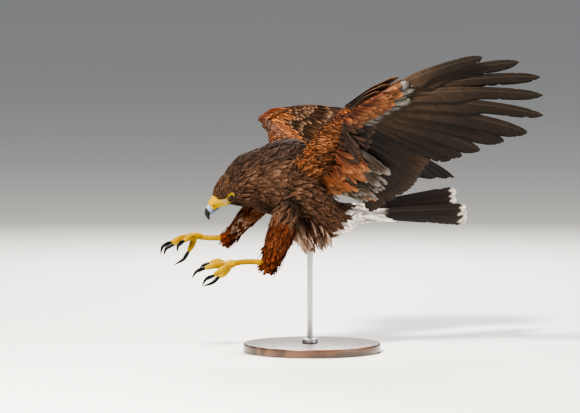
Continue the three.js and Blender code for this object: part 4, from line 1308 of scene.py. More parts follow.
# Where regions meet: x of the nape's, the vent's and the flank's edge on neck and torso
NAPE_EDGE = -158
VENT_EDGE = 20
FLANK_EDGE = -35
# The share of a thigh's length over which the flank's feathers hang
FLANK_ON_THIGH = {"thigh_left": 0.22, "thigh_right": 0.12}
HEEL_STARTS = 0.72
# The stretch of a wing's ring that is its front edge, and where the shoulder ends along the arm
FRONT_EDGE = (0.66, 0.84)
SHOULDER_ENDS = 0.4


def region_of(body, where, spot, normal):
    """The region of the coat at a place on the skin."""
    if body == "skull" or body.startswith("brow"):
        local = to_head(spot)
        if local[0] < -8 or (eye_gap(local) < 15 and local[0] < 6):
            return "face"
        return "crown" if local[0] < 16 else "nape"
    if body in ("neck", "nape"):
        return "nape" if spot[0] < NAPE_EDGE else "neck"
    if body.startswith("thigh"):
        if where[0] < FLANK_ON_THIGH[body] + 0.06 * mottled(spot, 12):
            return "flank"
        return "heel" if where[0] > HEEL_STARTS else "thigh"
    if body.startswith("arm") or body.startswith("hand"):
        if FRONT_EDGE[0] < where[1] < FRONT_EDGE[1]:
            return "edge"
        upper = normal[2] > 0 if abs(normal[2]) > 0.25 else normal[0] < 0
        if not upper:
            return "lining"
        return "shoulder" if where[0] < SHOULDER_ENDS and body.startswith("arm") else "lesser"
    if body == "stump" or (spot[0] > VENT_EDGE and normal[2] < 0.7):
        return "vent"
    if normal[2] > 0.4 + 0.15 * mottled(spot, 12):
        return "back"
    return "flank" if spot[0] > FLANK_EDGE else "breast"


def mottled(spot, size, seed=0.0):
    """A smooth value from -1 to 1 that wanders over the hawk, for blotches of colour."""
    return noise.noise(Vector(spot) / size + Vector((seed, seed * 1.7, -seed)))


def contour_colours(region, body, where, spot, normal, draw):
    """Base tone, fringe colour and strength of one contour feather, and of its bars."""
    p = bpy.context.scene.hawk_colours
    colours = (p.feather, p.rufous, p.fringe, p.vent, p.back)
    brown, rust, pale, cream, back = [np.array([*each]) for each in colours]
    blotch = mottled(spot, 14)
    small = draw.random()
    if region in ("thigh", "heel"):
        inner = ramp(0.25, 0.95, -math.copysign(1, spot[1]) * normal[1])
        tone = blend(rust, brown, max(0, 0.12 + 0.45 * blotch)) * (0.5 + 0.45 * small + 0.35 * blotch)
        # Painted light: the inner side of each thigh, and its fringes, are made paler as if lit
        wear_and_light = blend(rust * 1.3, pale, 0.3 + 0.7 * small)
        tone = blend(tone, wear_and_light, 0.4 * inner * ramp(-0.3, 0.2, blotch))
        # A pale patch on the inner side
        patch = inner * ramp(0.3, 0.42, where[0]) * ramp(0.7, 0.54, where[0]) * ramp(-0.2, 0.15, blotch)
        tone = blend(tone, blend(pale, cream, 0.2 + 0.4 * small), 0.6 * patch)
        return tone, blend(rust * 1.6, pale, 0.4 + 0.5 * inner), 0.25 + 0.3 * small, 0.5
    if region in ("vent", "flank"):
        # The white of the vent starts farther back towards the tail's root
        border = 0.95 * (spot[2] - 215) + 6
        share = ramp(-5, 5, spot[0] - border + 7 * blotch)
        loose = ramp(236, 216, spot[2]) * ramp(-62, -40, spot[0])
        tone = brown * (0.55 + 0.6 * small + 0.7 * max(0, blotch))
        tone = blend(tone, blend(brown * 1.5, pale * 0.8, small), 0.75 * loose)
        tone = blend(tone, cream * (0.85 + 0.2 * small), share)
        return tone, blend(pale, cream, share), 0.15 + 0.4 * small * small + 0.4 * share, 0.0
    if region in ("shoulder", "lesser"):
        tone = blend(rust * 1.7, blend(pale, brown, draw.random()), 0.15 + 0.4 * small)
        tone = blend(tone, back, ramp(0.6, 1.0, where[0] + 0.5 * (small - 0.5)))
        return tone * (0.6 + 0.7 * draw.random()), blend(rust * 1.6, pale, 0.6), 0.35, 0.0
    if region in ("lining", "edge"):
        gold = blend(rust, pale, 0.2 + 0.35 * small)
        tone = blend(gold, brown * 0.5, max(0, 0.2 + 1.1 * blotch)) * (0.45 + 0.8 * draw.random())
        if body.startswith("arm"):
            # Painted shade: darker towards the rear of the lining, up to the wrist, where it lies in shadow
            rear = float(ramp(-0.2, 0.4, math.sin(TURN * where[1])))
            tone = tone * (1 - 0.65 * rear * float(ramp(0.15, 0.3, where[0]) * ramp(0.95, 0.8, where[0])))
        return tone, blend(rust * 1.5, pale, 0.6), 0.15 + 0.35 * small, 0.25
    top = ramp(0.1, 0.75, normal[2] + 0.35 * blotch)
    if region == "back":
        tone = blend(brown, back, 0.35 + 0.5 * top) * (0.62 + 0.75 * small * small + 0.3 * blotch)
        return tone, pale * 0.7, 0.1 + 0.3 * small * small, 0.0
    if region in ("crown", "nape", "face", "neck"):
        dark = blend(brown, back, 0.8 * top * ramp(-215, -150, spot[0]))
        tone = dark * (0.6 + 0.55 * small + 0.6 * blotch)
        if region in ("face", "crown") and small > 0.9:
            tone = blend(tone, pale, 0.35)
        return np.maximum(tone, dark * 0.4), pale, 0.1 + 0.45 * small ** 3, 0.0
    wide = mottled(spot, 22, 5.0)
    tone = brown * (0.62 + 0.75 * small + 0.9 * max(0, blotch) + 0.7 * wide)
    return np.maximum(tone, brown * 0.35), pale * 0.9, 0.1 + 0.4 * small * max(0, 0.5 + blotch), 0.0


# Places tried for a root, one for so many square millimetres of skin, and the width of the cells
# that sort the roots found
AREA_PER_TRY = 1.1
ROOT_CELL = 5.0


def place_roots(skin, flow):
    """Roots of the contour feathers, evenly apart as each region asks."""
    bm = bmesh.new()
    bm.from_mesh(skin)
    bmesh.ops.triangulate(bm, faces=bm.faces)
    corners = np.array([[v.co for v in face.verts] for face in bm.faces]) / MM
    normals = np.array([face.normal for face in bm.faces])
    bm.free()
    first, along, aside = corners[:, 0], corners[:, 1] - corners[:, 0], corners[:, 2] - corners[:, 0]
    area = np.linalg.norm(np.cross(along, aside), axis=1) / 2
    chance = np.random.default_rng(5)
    total = int(area.sum() / AREA_PER_TRY)
    pick = chance.choice(len(area), total, p=area / area.sum())
    a, b = chance.random((2, total, 1))
    flip = a + b > 1
    a, b = np.where(flip, 1 - a, a), np.where(flip, 1 - b, b)
    spots = first[pick] + a * along[pick] + b * aside[pick]
    near = [(i, j, k) for i in (-1, 0, 1) for j in (-1, 0, 1) for k in (-1, 0, 1)]
    taken, roots = {}, []
    for spot, normal in zip(spots, normals[pick]):
        body, where, lie = flow.at_place(spot)
        region = region_of(body, where, spot, normal)
        spacing = REGIONS[region][0]
        key = tuple((spot // ROOT_CELL).astype(int))
        around = [taken.get((key[0] + i, key[1] + j, key[2] + k), ()) for i, j, k in near]
        others = [other for cell in around for other in cell]
        if any(sum((spot - other) ** 2) < spacing * spacing for other in others):
            continue
        taken.setdefault(key, []).append(spot)
        roots.append((spot, normal, region, body, where, lie))
    return roots


# The ring round an eye, in millimetres of the head's frame, where feathers part to pass it, the
# line of the lids that none grows or reaches over, and how far out from the head's middle it lies
EYE_RING = (17, 10)
BARE_RING = 6.6
CLEAR_RING = 6.3
EYE_SIDE = 12


def round_eyes(lie, local):
    """The way a feather lies, turned so that it passes round an eye in its path."""
    gap = eye_gap(local)
    if gap > EYE_RING[0] or abs(local[1]) < 8:
        return lie
    turn = HEAD_INVERSE[:3, :3]
    way = turn @ np.asarray(lie)
    out = np.array([local[0], 0, local[2]]) / max(gap, 0.1)
    inward = min(way @ out, 0)
    return turn.T @ (way - out * inward * float(ramp(*EYE_RING, gap)))


def bare(region, local):
    """True where no feather grows: the eyes, the lores, the cere and the bill."""
    if region not in ("face", "crown"):
        return False
    if eye_gap(local) < BARE_RING and abs(local[1]) > EYE_SIDE:
        return True
    if local[0] < -21:
        return True
    return local[0] < -7 and -14 < local[2] < 1.5 - 0.25 * (local[0] + 14)


# Rows of a contour feather: share of its length, of its width, how far the edges are set back and
# share of the rise of its tip
ALONG = np.array([0, 0.25, 0.5, 0.73, 0.9, 1.0])
WIDTHS = np.array([0.4, 0.85, 1.0, 0.96, 0.76, 0.3])
SETBACK = np.array([0, 0, 0.01, 0.03, 0.08, 0.17])
RISE = np.array([0.2, 0.42, 0.62, 0.8, 0.93, 1.0])
ROWS = len(ALONG)
# How a contour feather strays from its region's size
CONTOUR_LENGTHS = (0.8, 1.2)
CONTOUR_WIDTHS = (0.85, 1.15)
# How far neighbours turn aside together, in degrees
CLUMPING = 26
# The share of feathers that stand up, and how much more
RUFFLED = (0.04, 1.5)


def over_skin(tree, spot, normal, ahead, length, lift):
    """The shaft of a feather that follows the skin, the ways to its side and the ways up."""
    at, up = Vector(spot), Vector(normal)
    centre, sides, ups = [], [], []
    for rise, step in zip(RISE, [*np.diff(ALONG) * length, 0.0]):
        hit, hit_normal, _, _ = tree.find_nearest(at)
        up = (up + hit_normal).normalized()
        ahead = (ahead - up * ahead.dot(up)).normalized()
        centre.append(hit + up * (lift * rise))
        sides.append(up.cross(ahead))
        ups.append(up.copy())
        at = hit + ahead * step
    return np.array(centre), np.array(sides), np.array(ups)


def contour_pieces(skin):
    """The small feathers of the whole coat, one piece for each part of the body."""
    flow = Flow()
    draw = random.Random("coat")
    tree = BVHTree.FromPolygons([v.co / MM for v in skin.vertices], [p.vertices for p in skin.polygons])
    pieces = {}
    for spot, normal, region, body, where, lie in place_roots(skin, flow):
        local = to_head(spot)
        if bare(region, local):
            continue
        _, length, width, rise, turn, piece = REGIONS[region]
        length *= draw.uniform(*CONTOUR_LENGTHS)
        width *= draw.uniform(*CONTOUR_WIDTHS) / 2
        ahead = Vector(round_eyes(lie, local))
        ahead = ahead - Vector(normal) * ahead.dot(Vector(normal))
        if ahead.length < 0.2:
            continue
        ahead.normalize()
        swing = draw.gauss(0, turn) + CLUMPING * mottled(spot, 3.2 * width, 7.0)
        ahead.rotate(Matrix.Rotation(math.radians(swing), 3, Vector(normal)))
        lift = rise * draw.uniform(0.6, 1.2) * (1 + 0.9 * max(0, mottled(spot, 2.6 * width, 3.0)))
        if draw.random() < RUFFLED[0]:
            lift *= RUFFLED[1]
        centre, sides, ups = over_skin(tree, spot, normal, ahead, length, lift)
        if region in ("face", "crown") and abs(local[1]) > EYE_SIDE:
            if min(eye_gap(to_head(place)) for place in centre[2:]) < CLEAR_RING:
                continue
        tone, rim, fringe, bars = contour_colours(region, body, where, spot, normal, draw)
        pieces.setdefault(piece, []).append(
            (centre, sides, ups, length, width, (*tone, 1), (*rim, fringe), bars, draw.random(), where,
             flow.names.index(body), draw.uniform(0.7, 1.3)))
    for name, feathers in pieces.items():
        build_contour(name, *[np.array(part) for part in zip(*feathers)])


# Loose feathers under the body: how many, the x, half the width and the height where the foremost
# root, and how much farther back the rearmost do
PETTICOAT = 230
PETTICOAT_FRONT = (-42, 36, 246)
PETTICOAT_DEPTH = 52


def petticoat():
    """Long loose feathers of the flanks and vent, hanging behind the thighs."""
    looks = palette()
    draw = random.Random("petticoat")
    coat = Plumage("coat_petticoat", PETTICOAT, (14, 5), 0.35, 0.4)
    front, half, height = PETTICOAT_FRONT
    for _ in range(PETTICOAT):
        row, col = draw.random(), draw.uniform(-1, 1)
        spread = half * col * (1 - 0.3 * row)
        root = np.array([front + PETTICOAT_DEPTH * row, spread, height - 8 * row + 12 * abs(col)])
        drop = blend(84, 68, row) * draw.uniform(0.6, 1.0) * (1 - 0.2 * abs(col))
        tip = root + np.array([0.36 * drop + draw.gauss(0, 4), 8 * col + draw.gauss(0, 4), -0.9 * drop])
        up = np.array([0.9, 0.3 * col, 0.45]) + stray(draw, 0.35)
        sag, share = draw.uniform(-4, 8), draw.uniform(0.3, 0.62)
        look = looks["skirt" if draw.random() < 0.35 else "skirt_pale"]
        coat.loose(root, tip, up, sag, share, look, draw)
    coat.finish("down_feather", "down_feather")


HEEL_TUFT = 150


def heel_tufts():
    """Feathers hanging from the heels over the top of the tarsus, and under the thigh."""
    looks = palette()
    draw = random.Random("heels")
    coat = Plumage("coat_heels", 2 * HEEL_TUFT, (12, 5), 0.3, 0.3)
    for leg in LEGS.values():
        thigh = round_place(leg["thigh"], depth=2.6)
        tarsus = round_place(leg["tarsus"])
        down = unit(np.subtract(leg["thigh"][-1][:3], leg["thigh"][-3][:3]))
        ahead = unit(np.subtract(leg["tarsus"][2][:3], leg["tarsus"][0][:3]))
        for k in range(HEEL_TUFT):
            t, angle = draw.uniform(0.62, 0.9), draw.uniform(0, TURN)
            t, across, over = [np.array(value) for value in (t, math.sin(angle), math.cos(angle))]
            root = thigh(t, across, over)
            out = unit(root - smooth(leg["thigh"], t)[:3])
            astray = stray(draw, 0.1)
            way = unit(down * (1 - 0.5 * max(0.0, float(out @ ahead))) + out * 0.08 + astray)
            length = draw.uniform(12, 19)
            if k % 3 == 0:
                # Every third one grows from the top of the tarsus
                root = tarsus(np.array(draw.uniform(0.02, 0.16)), across, over)
                out = unit(root - smooth(leg["tarsus"], 0.1)[:3])
                way = unit(ahead + 0.12 * out + 0.7 * astray)
                length = draw.uniform(12, 17)
            sag, share = draw.uniform(0.5, 2.0), draw.uniform(0.2, 0.36)
            coat.loose(root - out, root + way * length, out, sag, share, looks["heel"], draw)
    coat.finish("down_feather", "down_feather")


# Blocks to a side of the coat's bake sheet, one for each body, and the size of a feather's patch
BAKE_BLOCKS = 4
BAKE_PATCH = 0.003


def build_contour(name, centre, sides, ups, length, width, tone, rim, bars, seed, where, block, droop):
    """One piece of small feathers from arrays that hold a row for each of them."""
    lot = len(centre)
    length, width, droop = length[:, None], width[:, None], droop[:, None]
    rough = np.random.default_rng(lot)
    half = width * WIDTHS[None]
    column = np.linspace(-1, 1, 3 if name in SMALL_FEATHERED else 5)
    cols = len(column)
    ragged = 1 + rough.uniform(-0.16, 0.12, (lot, ROWS, 1)) * np.abs(column)
    slip = rough.uniform(-0.07, 0.07, (lot, ROWS, cols)) * (np.linspace(0, 1, ROWS) ** 2)[None, :, None]
    slip = slip - SETBACK[None, :, None] * column ** 2
    aside = half[..., None] * column * ragged
    fall = -0.1 * half * droop
    forward = unit(np.gradient(centre, axis=1))
    top = centre[:, :, None] + sides[:, :, None] * aside[..., None]
    top = top + ups[:, :, None] * (fall[..., None] * column ** 2)[..., None]
    top = top + forward[:, :, None] * (slip * length[..., None])[..., None]
    ridge = 0.02 * width[..., None] + 0.05
    top[:, :, cols // 2] += ups * ridge
    lower = top[:, 1:-1, 1:-1] - ups[:, 1:-1, None] * (0.16 + ridge[..., None])
    grid = np.ones((lot, ROWS, cols))
    along = grid * ALONG[None, :, None]
    vane = np.stack([grid * column, along, grid * seed[:, None, None]], -1)
    span = np.stack([aside, along * length[..., None], grid * bars[:, None, None]], -1)
    # Each feather bakes into a small patch at its root's place on an unwrap of the bodies
    blocks = np.stack([block % BAKE_BLOCKS, block // BAKE_BLOCKS], -1)
    corner = (blocks + 0.02 + 0.94 * where[:, ::-1]) / BAKE_BLOCKS
    patch = np.stack([grid * (column * 0.5 + 0.5), along], -1) * BAKE_PATCH
    bake = corner[:, None, None] + patch
    coat = Plumage(name)
    coat.add(top, lower, vane, span, tone, rim, (bake, bake))
    coat.finish("down_feather", "down_feather")


def body_pieces():
    skin = skin_mesh()
    x, y, z = all_to_head(points_of(skin)).T
    # Bare between the cere and the eye and below the brow, and round the eye
    below_brow = ramp(3.5, -0.5, z + 0.25 * (x + 14))
    lores = ramp(-5, -9, x) * np.maximum(below_brow, ramp(-19, -21, x))
    round_eye = ramp(7.9, 7.2, np.hypot(x, z)) * ramp(10, 12, np.abs(y))
    round_eye = round_eye * ramp(-4, 0, z + 0.3 * x)
    yellow = np.maximum(ramp(-13, -20, x), round_eye)
    paint(skin, "bare", np.stack([np.maximum(lores, round_eye), yellow, 0 * lores], -1))
    nodes = ("torso", "neck", "head", "thigh_left", "thigh_right")
    finish_piece("skin", skin, ["skin_down"], nodes)
    contour_pieces(skin)
    petticoat()
    heel_tufts()


# Head


def shaped(name, places, material, replaced=None, voxel=0.0, ball=(32, 24), shade_of=None,
           dents=()):
    """A smooth piece pulled to one or more shapes, joined by a fine remesh when there are many.
    It stands for the node of its own name unless another is given."""
    bm = bmesh.new()
    for place in places:
        add_ball(bm, place, *ball)
    mesh = mesh_of(bm, name)
    if voxel:
        mesh = remeshed(mesh, voxel, FINE_PASSES)
    for centre, radius, deep in dents:
        for vert in mesh.vertices:
            gap = (vert.co / MM - centre).length
            if gap < radius:
                vert.co -= vert.normal * (deep * MM * (1 - (gap / radius) ** 2))
    if shade_of:
        paint(mesh, "shade", shade_of(points_of(mesh)), "FLOAT", "value")
    return finish_piece(name, mesh, [material], (replaced or name,))


def ridged(place, keel):
    """The same place with its ring drawn up into a ridge over the top."""
    def moved(t, across, over):
        up = np.maximum(over, 0)
        return place(t, across * (1 - keel * up ** 2), over)
    return moved


def along_hook(points):
    """How dark the horn of the bill is, from its base to its tip."""
    x, _, z = all_to_head(points).T
    return ramp(*HORN_DARKENS, np.hypot(x, np.minimum(z + 5, 0)))


def eye_piece(name, side):
    """One eye, a ball whose cornea bulges over the pupil."""
    bm = bmesh.new()
    verts = bmesh.ops.create_uvsphere(bm, u_segments=48, v_segments=32, radius=EYE_RADIUS)["verts"]
    outwards = Matrix.Rotation(side * -math.pi / 2, 3, "X")
    bmesh.ops.rotate(bm, verts=verts, cent=(0, 0, 0), matrix=outwards)
    values = []
    for vert in verts:
        out = math.hypot(vert.co.x, vert.co.z) / EYE_RADIUS
        if vert.co.y * side < 0:
            out = 1.0
        values.append((out, math.atan2(vert.co.z, vert.co.x), 0))
        bulge = CORNEA * float(ramp(0.5, 0.2, out))
        vert.co.y += side * (EYE_OUT + bulge)
        vert.co = head_matrix() @ vert.co * MM
    mesh = mesh_of(bm, "eye_" + name, closed=False)
    paint(mesh, "iris", values)
    finish_piece("eye_" + name, mesh, ["eye_wet"], ("eye_" + name,))


def head_pieces():
    places = [round_place(CERE, upright=True, headed=True)]
    places += [round_place(rows, headed=True) for rows in (GAPE, mirrored(GAPE))]
    x, y, z = NOSTRIL_AT
    nostrils = [head_matrix() @ Vector((x, side * y, z)) for side in (-1, 1)]

    # Painted shade in the holes of the nostrils
    def in_nostril(points):
        gaps = [np.linalg.norm(points - np.array(spot), axis=1) for spot in nostrils]
        return ramp(*NOSTRIL_SHADE, np.minimum(*gaps))
    shaped("cere_skin_piece", places, "cere_yellow", "cere", CERE_VOXEL,
           shade_of=in_nostril, dents=[(spot, *NOSTRIL_DENT) for spot in nostrils])
    hook = ridged(round_place(HOOK, headed=True), 0.35)
    shaped("bill_upper", [hook], "horn_of_bill", ball=(48, 40), shade_of=along_hook)
    lower = round_place(LOWER_BILL, headed=True)
    shaped("bill_lower", [lower], "horn_of_bill", ball=(40, 24), shade_of=along_hook)
    for name, side in (("left", -1), ("right", 1)):
        eye_piece(name, side)
        finish_piece("lid_" + name, lid_mesh("lid_" + name, side), ["cere_yellow"])


# Rows of the eyelids from the opening outwards: growth of the opening, distance from the eye's
# centre and how dark the skin is
LID_ROWS = [
    (0.15, 7.3, 0.5), (-0.1, 7.62, 0.1), (0.25, 7.95, 0), (0.7, 7.95, 0), (1.3, 7.8, 0.35),
    (1.9, 7.72, 0.85), (3.0, 7.6, 0.9), (2.8, 7.3, 0.9),
]
# Half the opening's width, its height above and its height below, how it tilts, and how far out
# the lids may reach
LID_OPENING = (6.3, 2.7, 3.5)
LID_TILT = 0.3
LID_REACH = 7.4


def lid_mesh(name, side):
    """The eyelids: a thin shell over the eye round an almond opening, its rim raised."""
    half, upper, lower = LID_OPENING
    bm = bmesh.new()
    dark = bm.verts.layers.float.new("shade")
    bmesh.ops.create_circle(bm, segments=72, radius=1)
    bmesh.ops.rotate(bm, verts=bm.verts, matrix=Matrix.Rotation(math.pi / 2, 3, "X"))
    verts, loops = list(bm.verts), []
    for number, (grow, radius, value) in enumerate(LID_ROWS):
        if number:
            made = bmesh.ops.extrude_edge_only(bm, edges=loops[-1])["geom"]
            verts = [item for item in made if isinstance(item, bmesh.types.BMVert)]
        chosen = set(verts)
        loops.append([edge for edge in bm.edges if chosen.issuperset(edge.verts)])
        for vert in verts:
            angle = math.atan2(vert.co.z, vert.co.x)
            across, over = math.cos(angle + LID_TILT), math.sin(angle + LID_TILT)
            out = 1 / math.hypot(across / half, over / (upper if over > 0 else lower)) + grow
            out = min(out, LID_REACH)
            stand_off = EYE_OUT + math.sqrt(max(radius ** 2 - out ** 2, 0.3))
            vert.co = (out * math.cos(angle), side * stand_off, out * math.sin(angle))
            # The rim is yellow above and behind the eye and dark below it
            vert[dark] = max(value, 0.85 * float(ramp(0.15, -0.45, over)))
    bmesh.ops.bridge_loops(bm, edges=loops[0] + loops[-1])
    bmesh.ops.recalc_face_normals(bm, faces=bm.faces)
    bmesh.ops.transform(bm, matrix=Matrix.Scale(MM, 4) @ head_matrix(), verts=bm.verts)
    return mesh_of(bm, name)


# Legs


def sized(rows, sizes):
    route = smooth(rows, np.linspace(0, 1, len(sizes)))
    return [(*spot, *size) for spot, size in zip(route, sizes)]


def scuted(place, count, height, start=0.0, stop=1.0):
    """The same place with overlapping plates raised across its upper side."""
    def moved(t, across, over):
        phase = (t * count) % 1.0
        plate = np.where(phase < 0.82, 0.6 + 0.4 * phase / 0.82, (1 - phase) / 0.18)
        share = ramp(0.1, 0.5, over) * ramp(start, start + 0.08, t) * ramp(stop, stop - 0.08, t)
        grow = 1 + height * (plate - 0.6) * share
        return place(t, across * grow, over * grow)
    return moved


def leg_pieces(name):
    leg = LEGS[name]

    def bare_skin(piece, place, ball):
        shaped(f"{piece}_{name}", [place], "foot_yellow", ball=ball)
    bare_skin("tarsus", scuted(round_place(leg["tarsus"]), 17, 0.3, 0.2, 0.98), (40, 150))
    bare_skin("foot", round_place(leg["palm"]), (32, 32))
    for toe, route in leg["toes"].items():
        start, knuckle, end, arch, tip = [np.array(spot, float) for spot in route]
        arch = arch + CLAW_BOW * (arch - (end + tip) / 2)
        joints = sized([start, knuckle, end], TOE_SIZES)
        bare_skin(f"toe_{toe}", scuted(round_place(joints), 13, 0.42, 0.1, 0.95), (28, 110))

        def toward_tip(points):
            return 0.55 + 0.4 * ramp(0, np.linalg.norm(tip - end), np.linalg.norm(points - end, axis=1))
        claw = round_place(sized([end, arch, tip], CLAW_SIZES))
        shaped(f"claw_{toe}_{name}", [claw], "horn_of_claws", ball=(24, 32),
               shade_of=toward_tip)


# Stand and stage


STAND_TURNS = {
    "stand_base": {"foot": (0, 0), "top": 16, "bevel": 2.5, "segments": 128},
    "stand_rod": {"foot": (-4, 16.3), "top": 262, "bevel": 0.3, "segments": 48},
    "stand_collar": {"foot": (-4, 16.3), "top": 24.3, "bevel": 1.0, "segments": 64},
}
COLLAR_RADIUS = 14


def turned(name, radius, material):
    """A round upright part of the stand, its rims rounded."""
    size = STAND_TURNS[name]
    (x, low), high = size["foot"], size["top"]
    bm = bmesh.new()
    bmesh.ops.create_cone(bm, cap_ends=True, segments=size["segments"], radius1=radius, radius2=radius,
                          depth=high - low, matrix=Matrix.Translation((0, 0, (low + high) / 2)))
    rims = [edge for edge in bm.edges if abs(edge.verts[0].co.z - edge.verts[1].co.z) < 1e-6]
    bmesh.ops.bevel(bm, geom=rims, offset=size["bevel"], segments=4, profile=0.5, affect="EDGES",
                    material=-1)
    for vert in bm.verts:
        vert.co = vert.co * MM
    mesh = mesh_of(bm, name)
    for vert in mesh.vertices:
        vert.co.x += x * MM
    finish_piece(name, mesh, [material], (name,))


def stand_pieces():
    s = bpy.context.scene.hawk_sizes
    turned("stand_base", s.base_radius / MM, "stand_walnut")
    turned("stand_rod", s.rod_radius / MM, "stand_brushed_steel")
    turned("stand_collar", COLLAR_RADIUS, "stand_brushed_steel")


# Lamps: name, place, size in metres, share of the key's power and colour
LAMPS = [
    ("key", (-1700, -1300, 2300), 0.5, 1.0, (1.0, 0.94, 0.85)),
    ("fill", (1900, -2200, 900), 1.8, 0.12, (0.86, 0.92, 1.0)),
    ("rim", (900, 1900, 1700), 1.2, 0.3, (1.0, 0.97, 0.93)),
]
LAMPS_AIM = (-20, 0, 300)
# The camera's target, its way round from the hawk's side and up in degrees, and its distance
CAMERA_AIM = (-36.25, 16.9, 265.1)
CAMERA_TURN = -25
CAMERA_RISE = 4
CAMERA_AWAY = 8000


def aim(thing, at, target):
    thing.location = Vector(at) * MM
    thing.rotation_euler = (Vector(target) - Vector(at)).to_track_quat("-Z", "Y").to_euler()


def make_stage():
    s = bpy.context.scene.hawk_stage
    bm = bmesh.new()
    bmesh.ops.create_grid(bm, x_segments=2, y_segments=2, size=60)
    floor = bpy.data.objects.new("floor", mesh_of(bm, "floor"))
    floor.data.materials.append(floor_material(s.floor))
    bpy.context.collection.objects.link(floor)

    world = bpy.data.worlds.new("studio")
    bpy.context.scene.world = world
    world.use_nodes = True
    world.node_tree.nodes["Background"].inputs[0].default_value = (*s.sky, 1)
    world.node_tree.nodes["Background"].inputs[1].default_value = s.sky_strength
    bpy.context.scene.view_settings.look = "AgX - Medium High Contrast"
    for name, at, size, share, color in LAMPS:
        data = bpy.data.lights.new(name, "AREA")
        data.shape, data.size, data.energy, data.color = "DISK", size, s.key_power * share, color
        lamp = bpy.data.objects.new(name, data)
        bpy.context.collection.objects.link(lamp)
        aim(lamp, at, LAMPS_AIM)

    data = bpy.data.cameras.new("camera")
    data.lens, data.sensor_width, data.clip_end = s.lens, 36, 300
    camera = bpy.data.objects.new("camera", data)
    bpy.context.collection.objects.link(camera)
    turn, rise = math.radians(CAMERA_TURN), math.radians(CAMERA_RISE)
    flat = math.cos(rise)
    back = Vector((math.sin(turn) * flat, -math.cos(turn) * flat, math.sin(rise)))
    target = Vector(CAMERA_AIM)
    aim(camera, target + back * CAMERA_AWAY, target)
    bpy.context.scene.camera = camera


def make_materials():
    feather_material("vane_upper", WING_CAST)
    feather_material("vane_under", underside=True)
    feather_material("covert_upper", gloss=0.03, dull=0.62)
    feather_material("tail_upper", TAIL_CAST)
    feather_material("tail_under", underside=True)
    feather_material("down_feather", gloss=0.06, dull=0.72, base=0.55, streaked=0.3)
    skin_material()
    yellow = (*bpy.context.scene.hawk_colours.bare_skin, 1)
    scale_material("cere_yellow", yellow, CERE_DEEP, creased=0.12)
    scale_material("foot_yellow", yellow, FOOT_DEEP, creased=0.5)
    horn_material("horn_of_bill", *BILL_HORN, streaked=0.04, gloss=0.22)
    horn_material("horn_of_claws", *CLAW_HORN, streaked=0.03, gloss=0.14)
    eye_material()
    wood_material()
    steel_material()


def tint(name, red, green, blue, note):
    return FloatVectorProperty(name=name, description=note, default=shade(red, green, blue)[:3],
                               subtype="COLOR", size=3, min=0, max=1)


class HawkColours(bpy.types.PropertyGroup):
    feather: tint("Body brown", 66, 47, 36, "Main brown of the head and body")
    back: tint("Back", 38, 30, 28, "Near black of the back")
    rufous: tint("Rufous", 88, 42, 20, "Chestnut of the shoulders, wing linings and thighs")
    fringe: tint("Fringes", 134, 94, 62, "Buff edges of the body feathers")
    vane: tint("Flight feathers", 40, 29, 20, "Grey brown of the large feathers from below")
    vent: tint("Vent and tail base", 228, 220, 208, "Off white of the vent and the ends of the tail")
    bare_skin: tint("Bare skin", 150, 122, 0, "Yellow of the cere, legs and toes")


class HawkSizes(bpy.types.PropertyGroup):
    base_radius: FloatProperty(name="Base radius", description="Radius of the round base",
                               default=0.125, min=0.08, max=0.2, unit="LENGTH")
    rod_radius: FloatProperty(name="Rod radius", description="Radius of the steel rod",
                              default=0.005, min=0.003, max=0.01, unit="LENGTH")


class HawkStage(bpy.types.PropertyGroup):
    floor: tint("Floor", 232, 230, 226, "Colour of the floor")
    sky: tint("Surroundings", 236, 240, 246, "Colour of the light from all round")
    sky_strength: FloatProperty(name="Surrounding light", default=0.3, min=0, max=5,
                                description="Strength of the light from all round")
    key_power: FloatProperty(name="Key light", description="Power of the main lamp in watts",
                             default=350, min=0, max=5000, unit="POWER")
    lens: FloatProperty(name="Lens", description="Focal length of the camera in millimetres",
                        default=273.1, min=20, max=1000, unit="CAMERA")


class HAWK_OT_stage(bpy.types.Operator):
    """Lay the floor, hang the lamps and aim the camera"""
    bl_idname = "hawk.stage"
    bl_label = "Stage"

    def execute(self, context):
        make_stage()
        return {"FINISHED"}


class HAWK_OT_materials(bpy.types.Operator):
    """Mix the materials of every piece"""
    bl_idname = "hawk.materials"
    bl_label = "Materials"

    def execute(self, context):
        make_materials()
        return {"FINISHED"}


class HAWK_OT_stand(bpy.types.Operator):
    """Build the round base, the rod and its collar"""
    bl_idname = "hawk.stand"
    bl_label = "Stand"

    def execute(self, context):
        stand_pieces()
        return {"FINISHED"}


class HAWK_OT_wings(bpy.types.Operator):
    """Build the flight feathers and coverts of both wings"""
    bl_idname = "hawk.wings"
    bl_label = "Wings"

    def execute(self, context):
        for name in WINGS:
            wing_pieces(name)
        return {"FINISHED"}


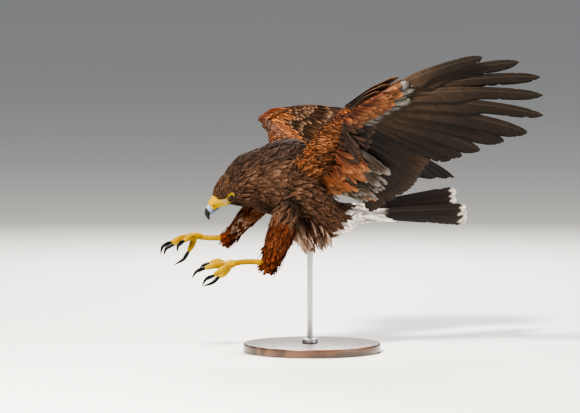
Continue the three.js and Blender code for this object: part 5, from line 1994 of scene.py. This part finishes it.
class HAWK_OT_tail(bpy.types.Operator):
    """Build the tail feathers and their coverts"""
    bl_idname = "hawk.tail"
    bl_label = "Tail"

    def execute(self, context):
        tail_pieces()
        return {"FINISHED"}


class HAWK_OT_body(bpy.types.Operator):
    """Build the skin and the contour feathers that grow on it"""
    bl_idname = "hawk.body"
    bl_label = "Body"

    def execute(self, context):
        body_pieces()
        return {"FINISHED"}


class HAWK_OT_head(bpy.types.Operator):
    """Build the bill, cere, eyes and eyelids"""
    bl_idname = "hawk.head"
    bl_label = "Head"

    def execute(self, context):
        head_pieces()
        return {"FINISHED"}


class HAWK_OT_legs(bpy.types.Operator):
    """Build the scaled legs, toes and claws"""
    bl_idname = "hawk.legs"
    bl_label = "Legs"

    def execute(self, context):
        for name in LEGS:
            leg_pieces(name)
        return {"FINISHED"}


STEPS = ("materials", "stage", "stand", "wings", "tail", "body", "head", "legs")


class HAWK_PT_panel(bpy.types.Panel):
    """Everything of the hawk that can be set and built"""
    bl_label = "Hawk"
    bl_idname = "HAWK_PT_panel"
    bl_space_type = "VIEW_3D"
    bl_region_type = "UI"
    bl_category = "Hawk"

    def draw(self, context):
        for group in (context.scene.hawk_colours, context.scene.hawk_sizes, context.scene.hawk_stage):
            box = self.layout.box()
            for key in group.__annotations__:
                box.prop(group, key)
        for step in STEPS:
            self.layout.operator("hawk." + step)


CLASSES = (HawkColours, HawkSizes, HawkStage, HAWK_OT_stage, HAWK_OT_materials, HAWK_OT_stand,
           HAWK_OT_wings, HAWK_OT_tail, HAWK_OT_body, HAWK_OT_head, HAWK_OT_legs, HAWK_PT_panel)


def register():
    for each in CLASSES:
        bpy.utils.register_class(each)
    bpy.types.Scene.hawk_colours = PointerProperty(type=HawkColours)
    bpy.types.Scene.hawk_sizes = PointerProperty(type=HawkSizes)
    bpy.types.Scene.hawk_stage = PointerProperty(type=HawkStage)


def unregister():
    del bpy.types.Scene.hawk_stage
    del bpy.types.Scene.hawk_sizes
    del bpy.types.Scene.hawk_colours
    for each in reversed(CLASSES):
        bpy.utils.unregister_class(each)


def main():
    register()
    for step in STEPS:
        getattr(bpy.ops.hawk, step)()


if __name__ == "__main__":
    main()
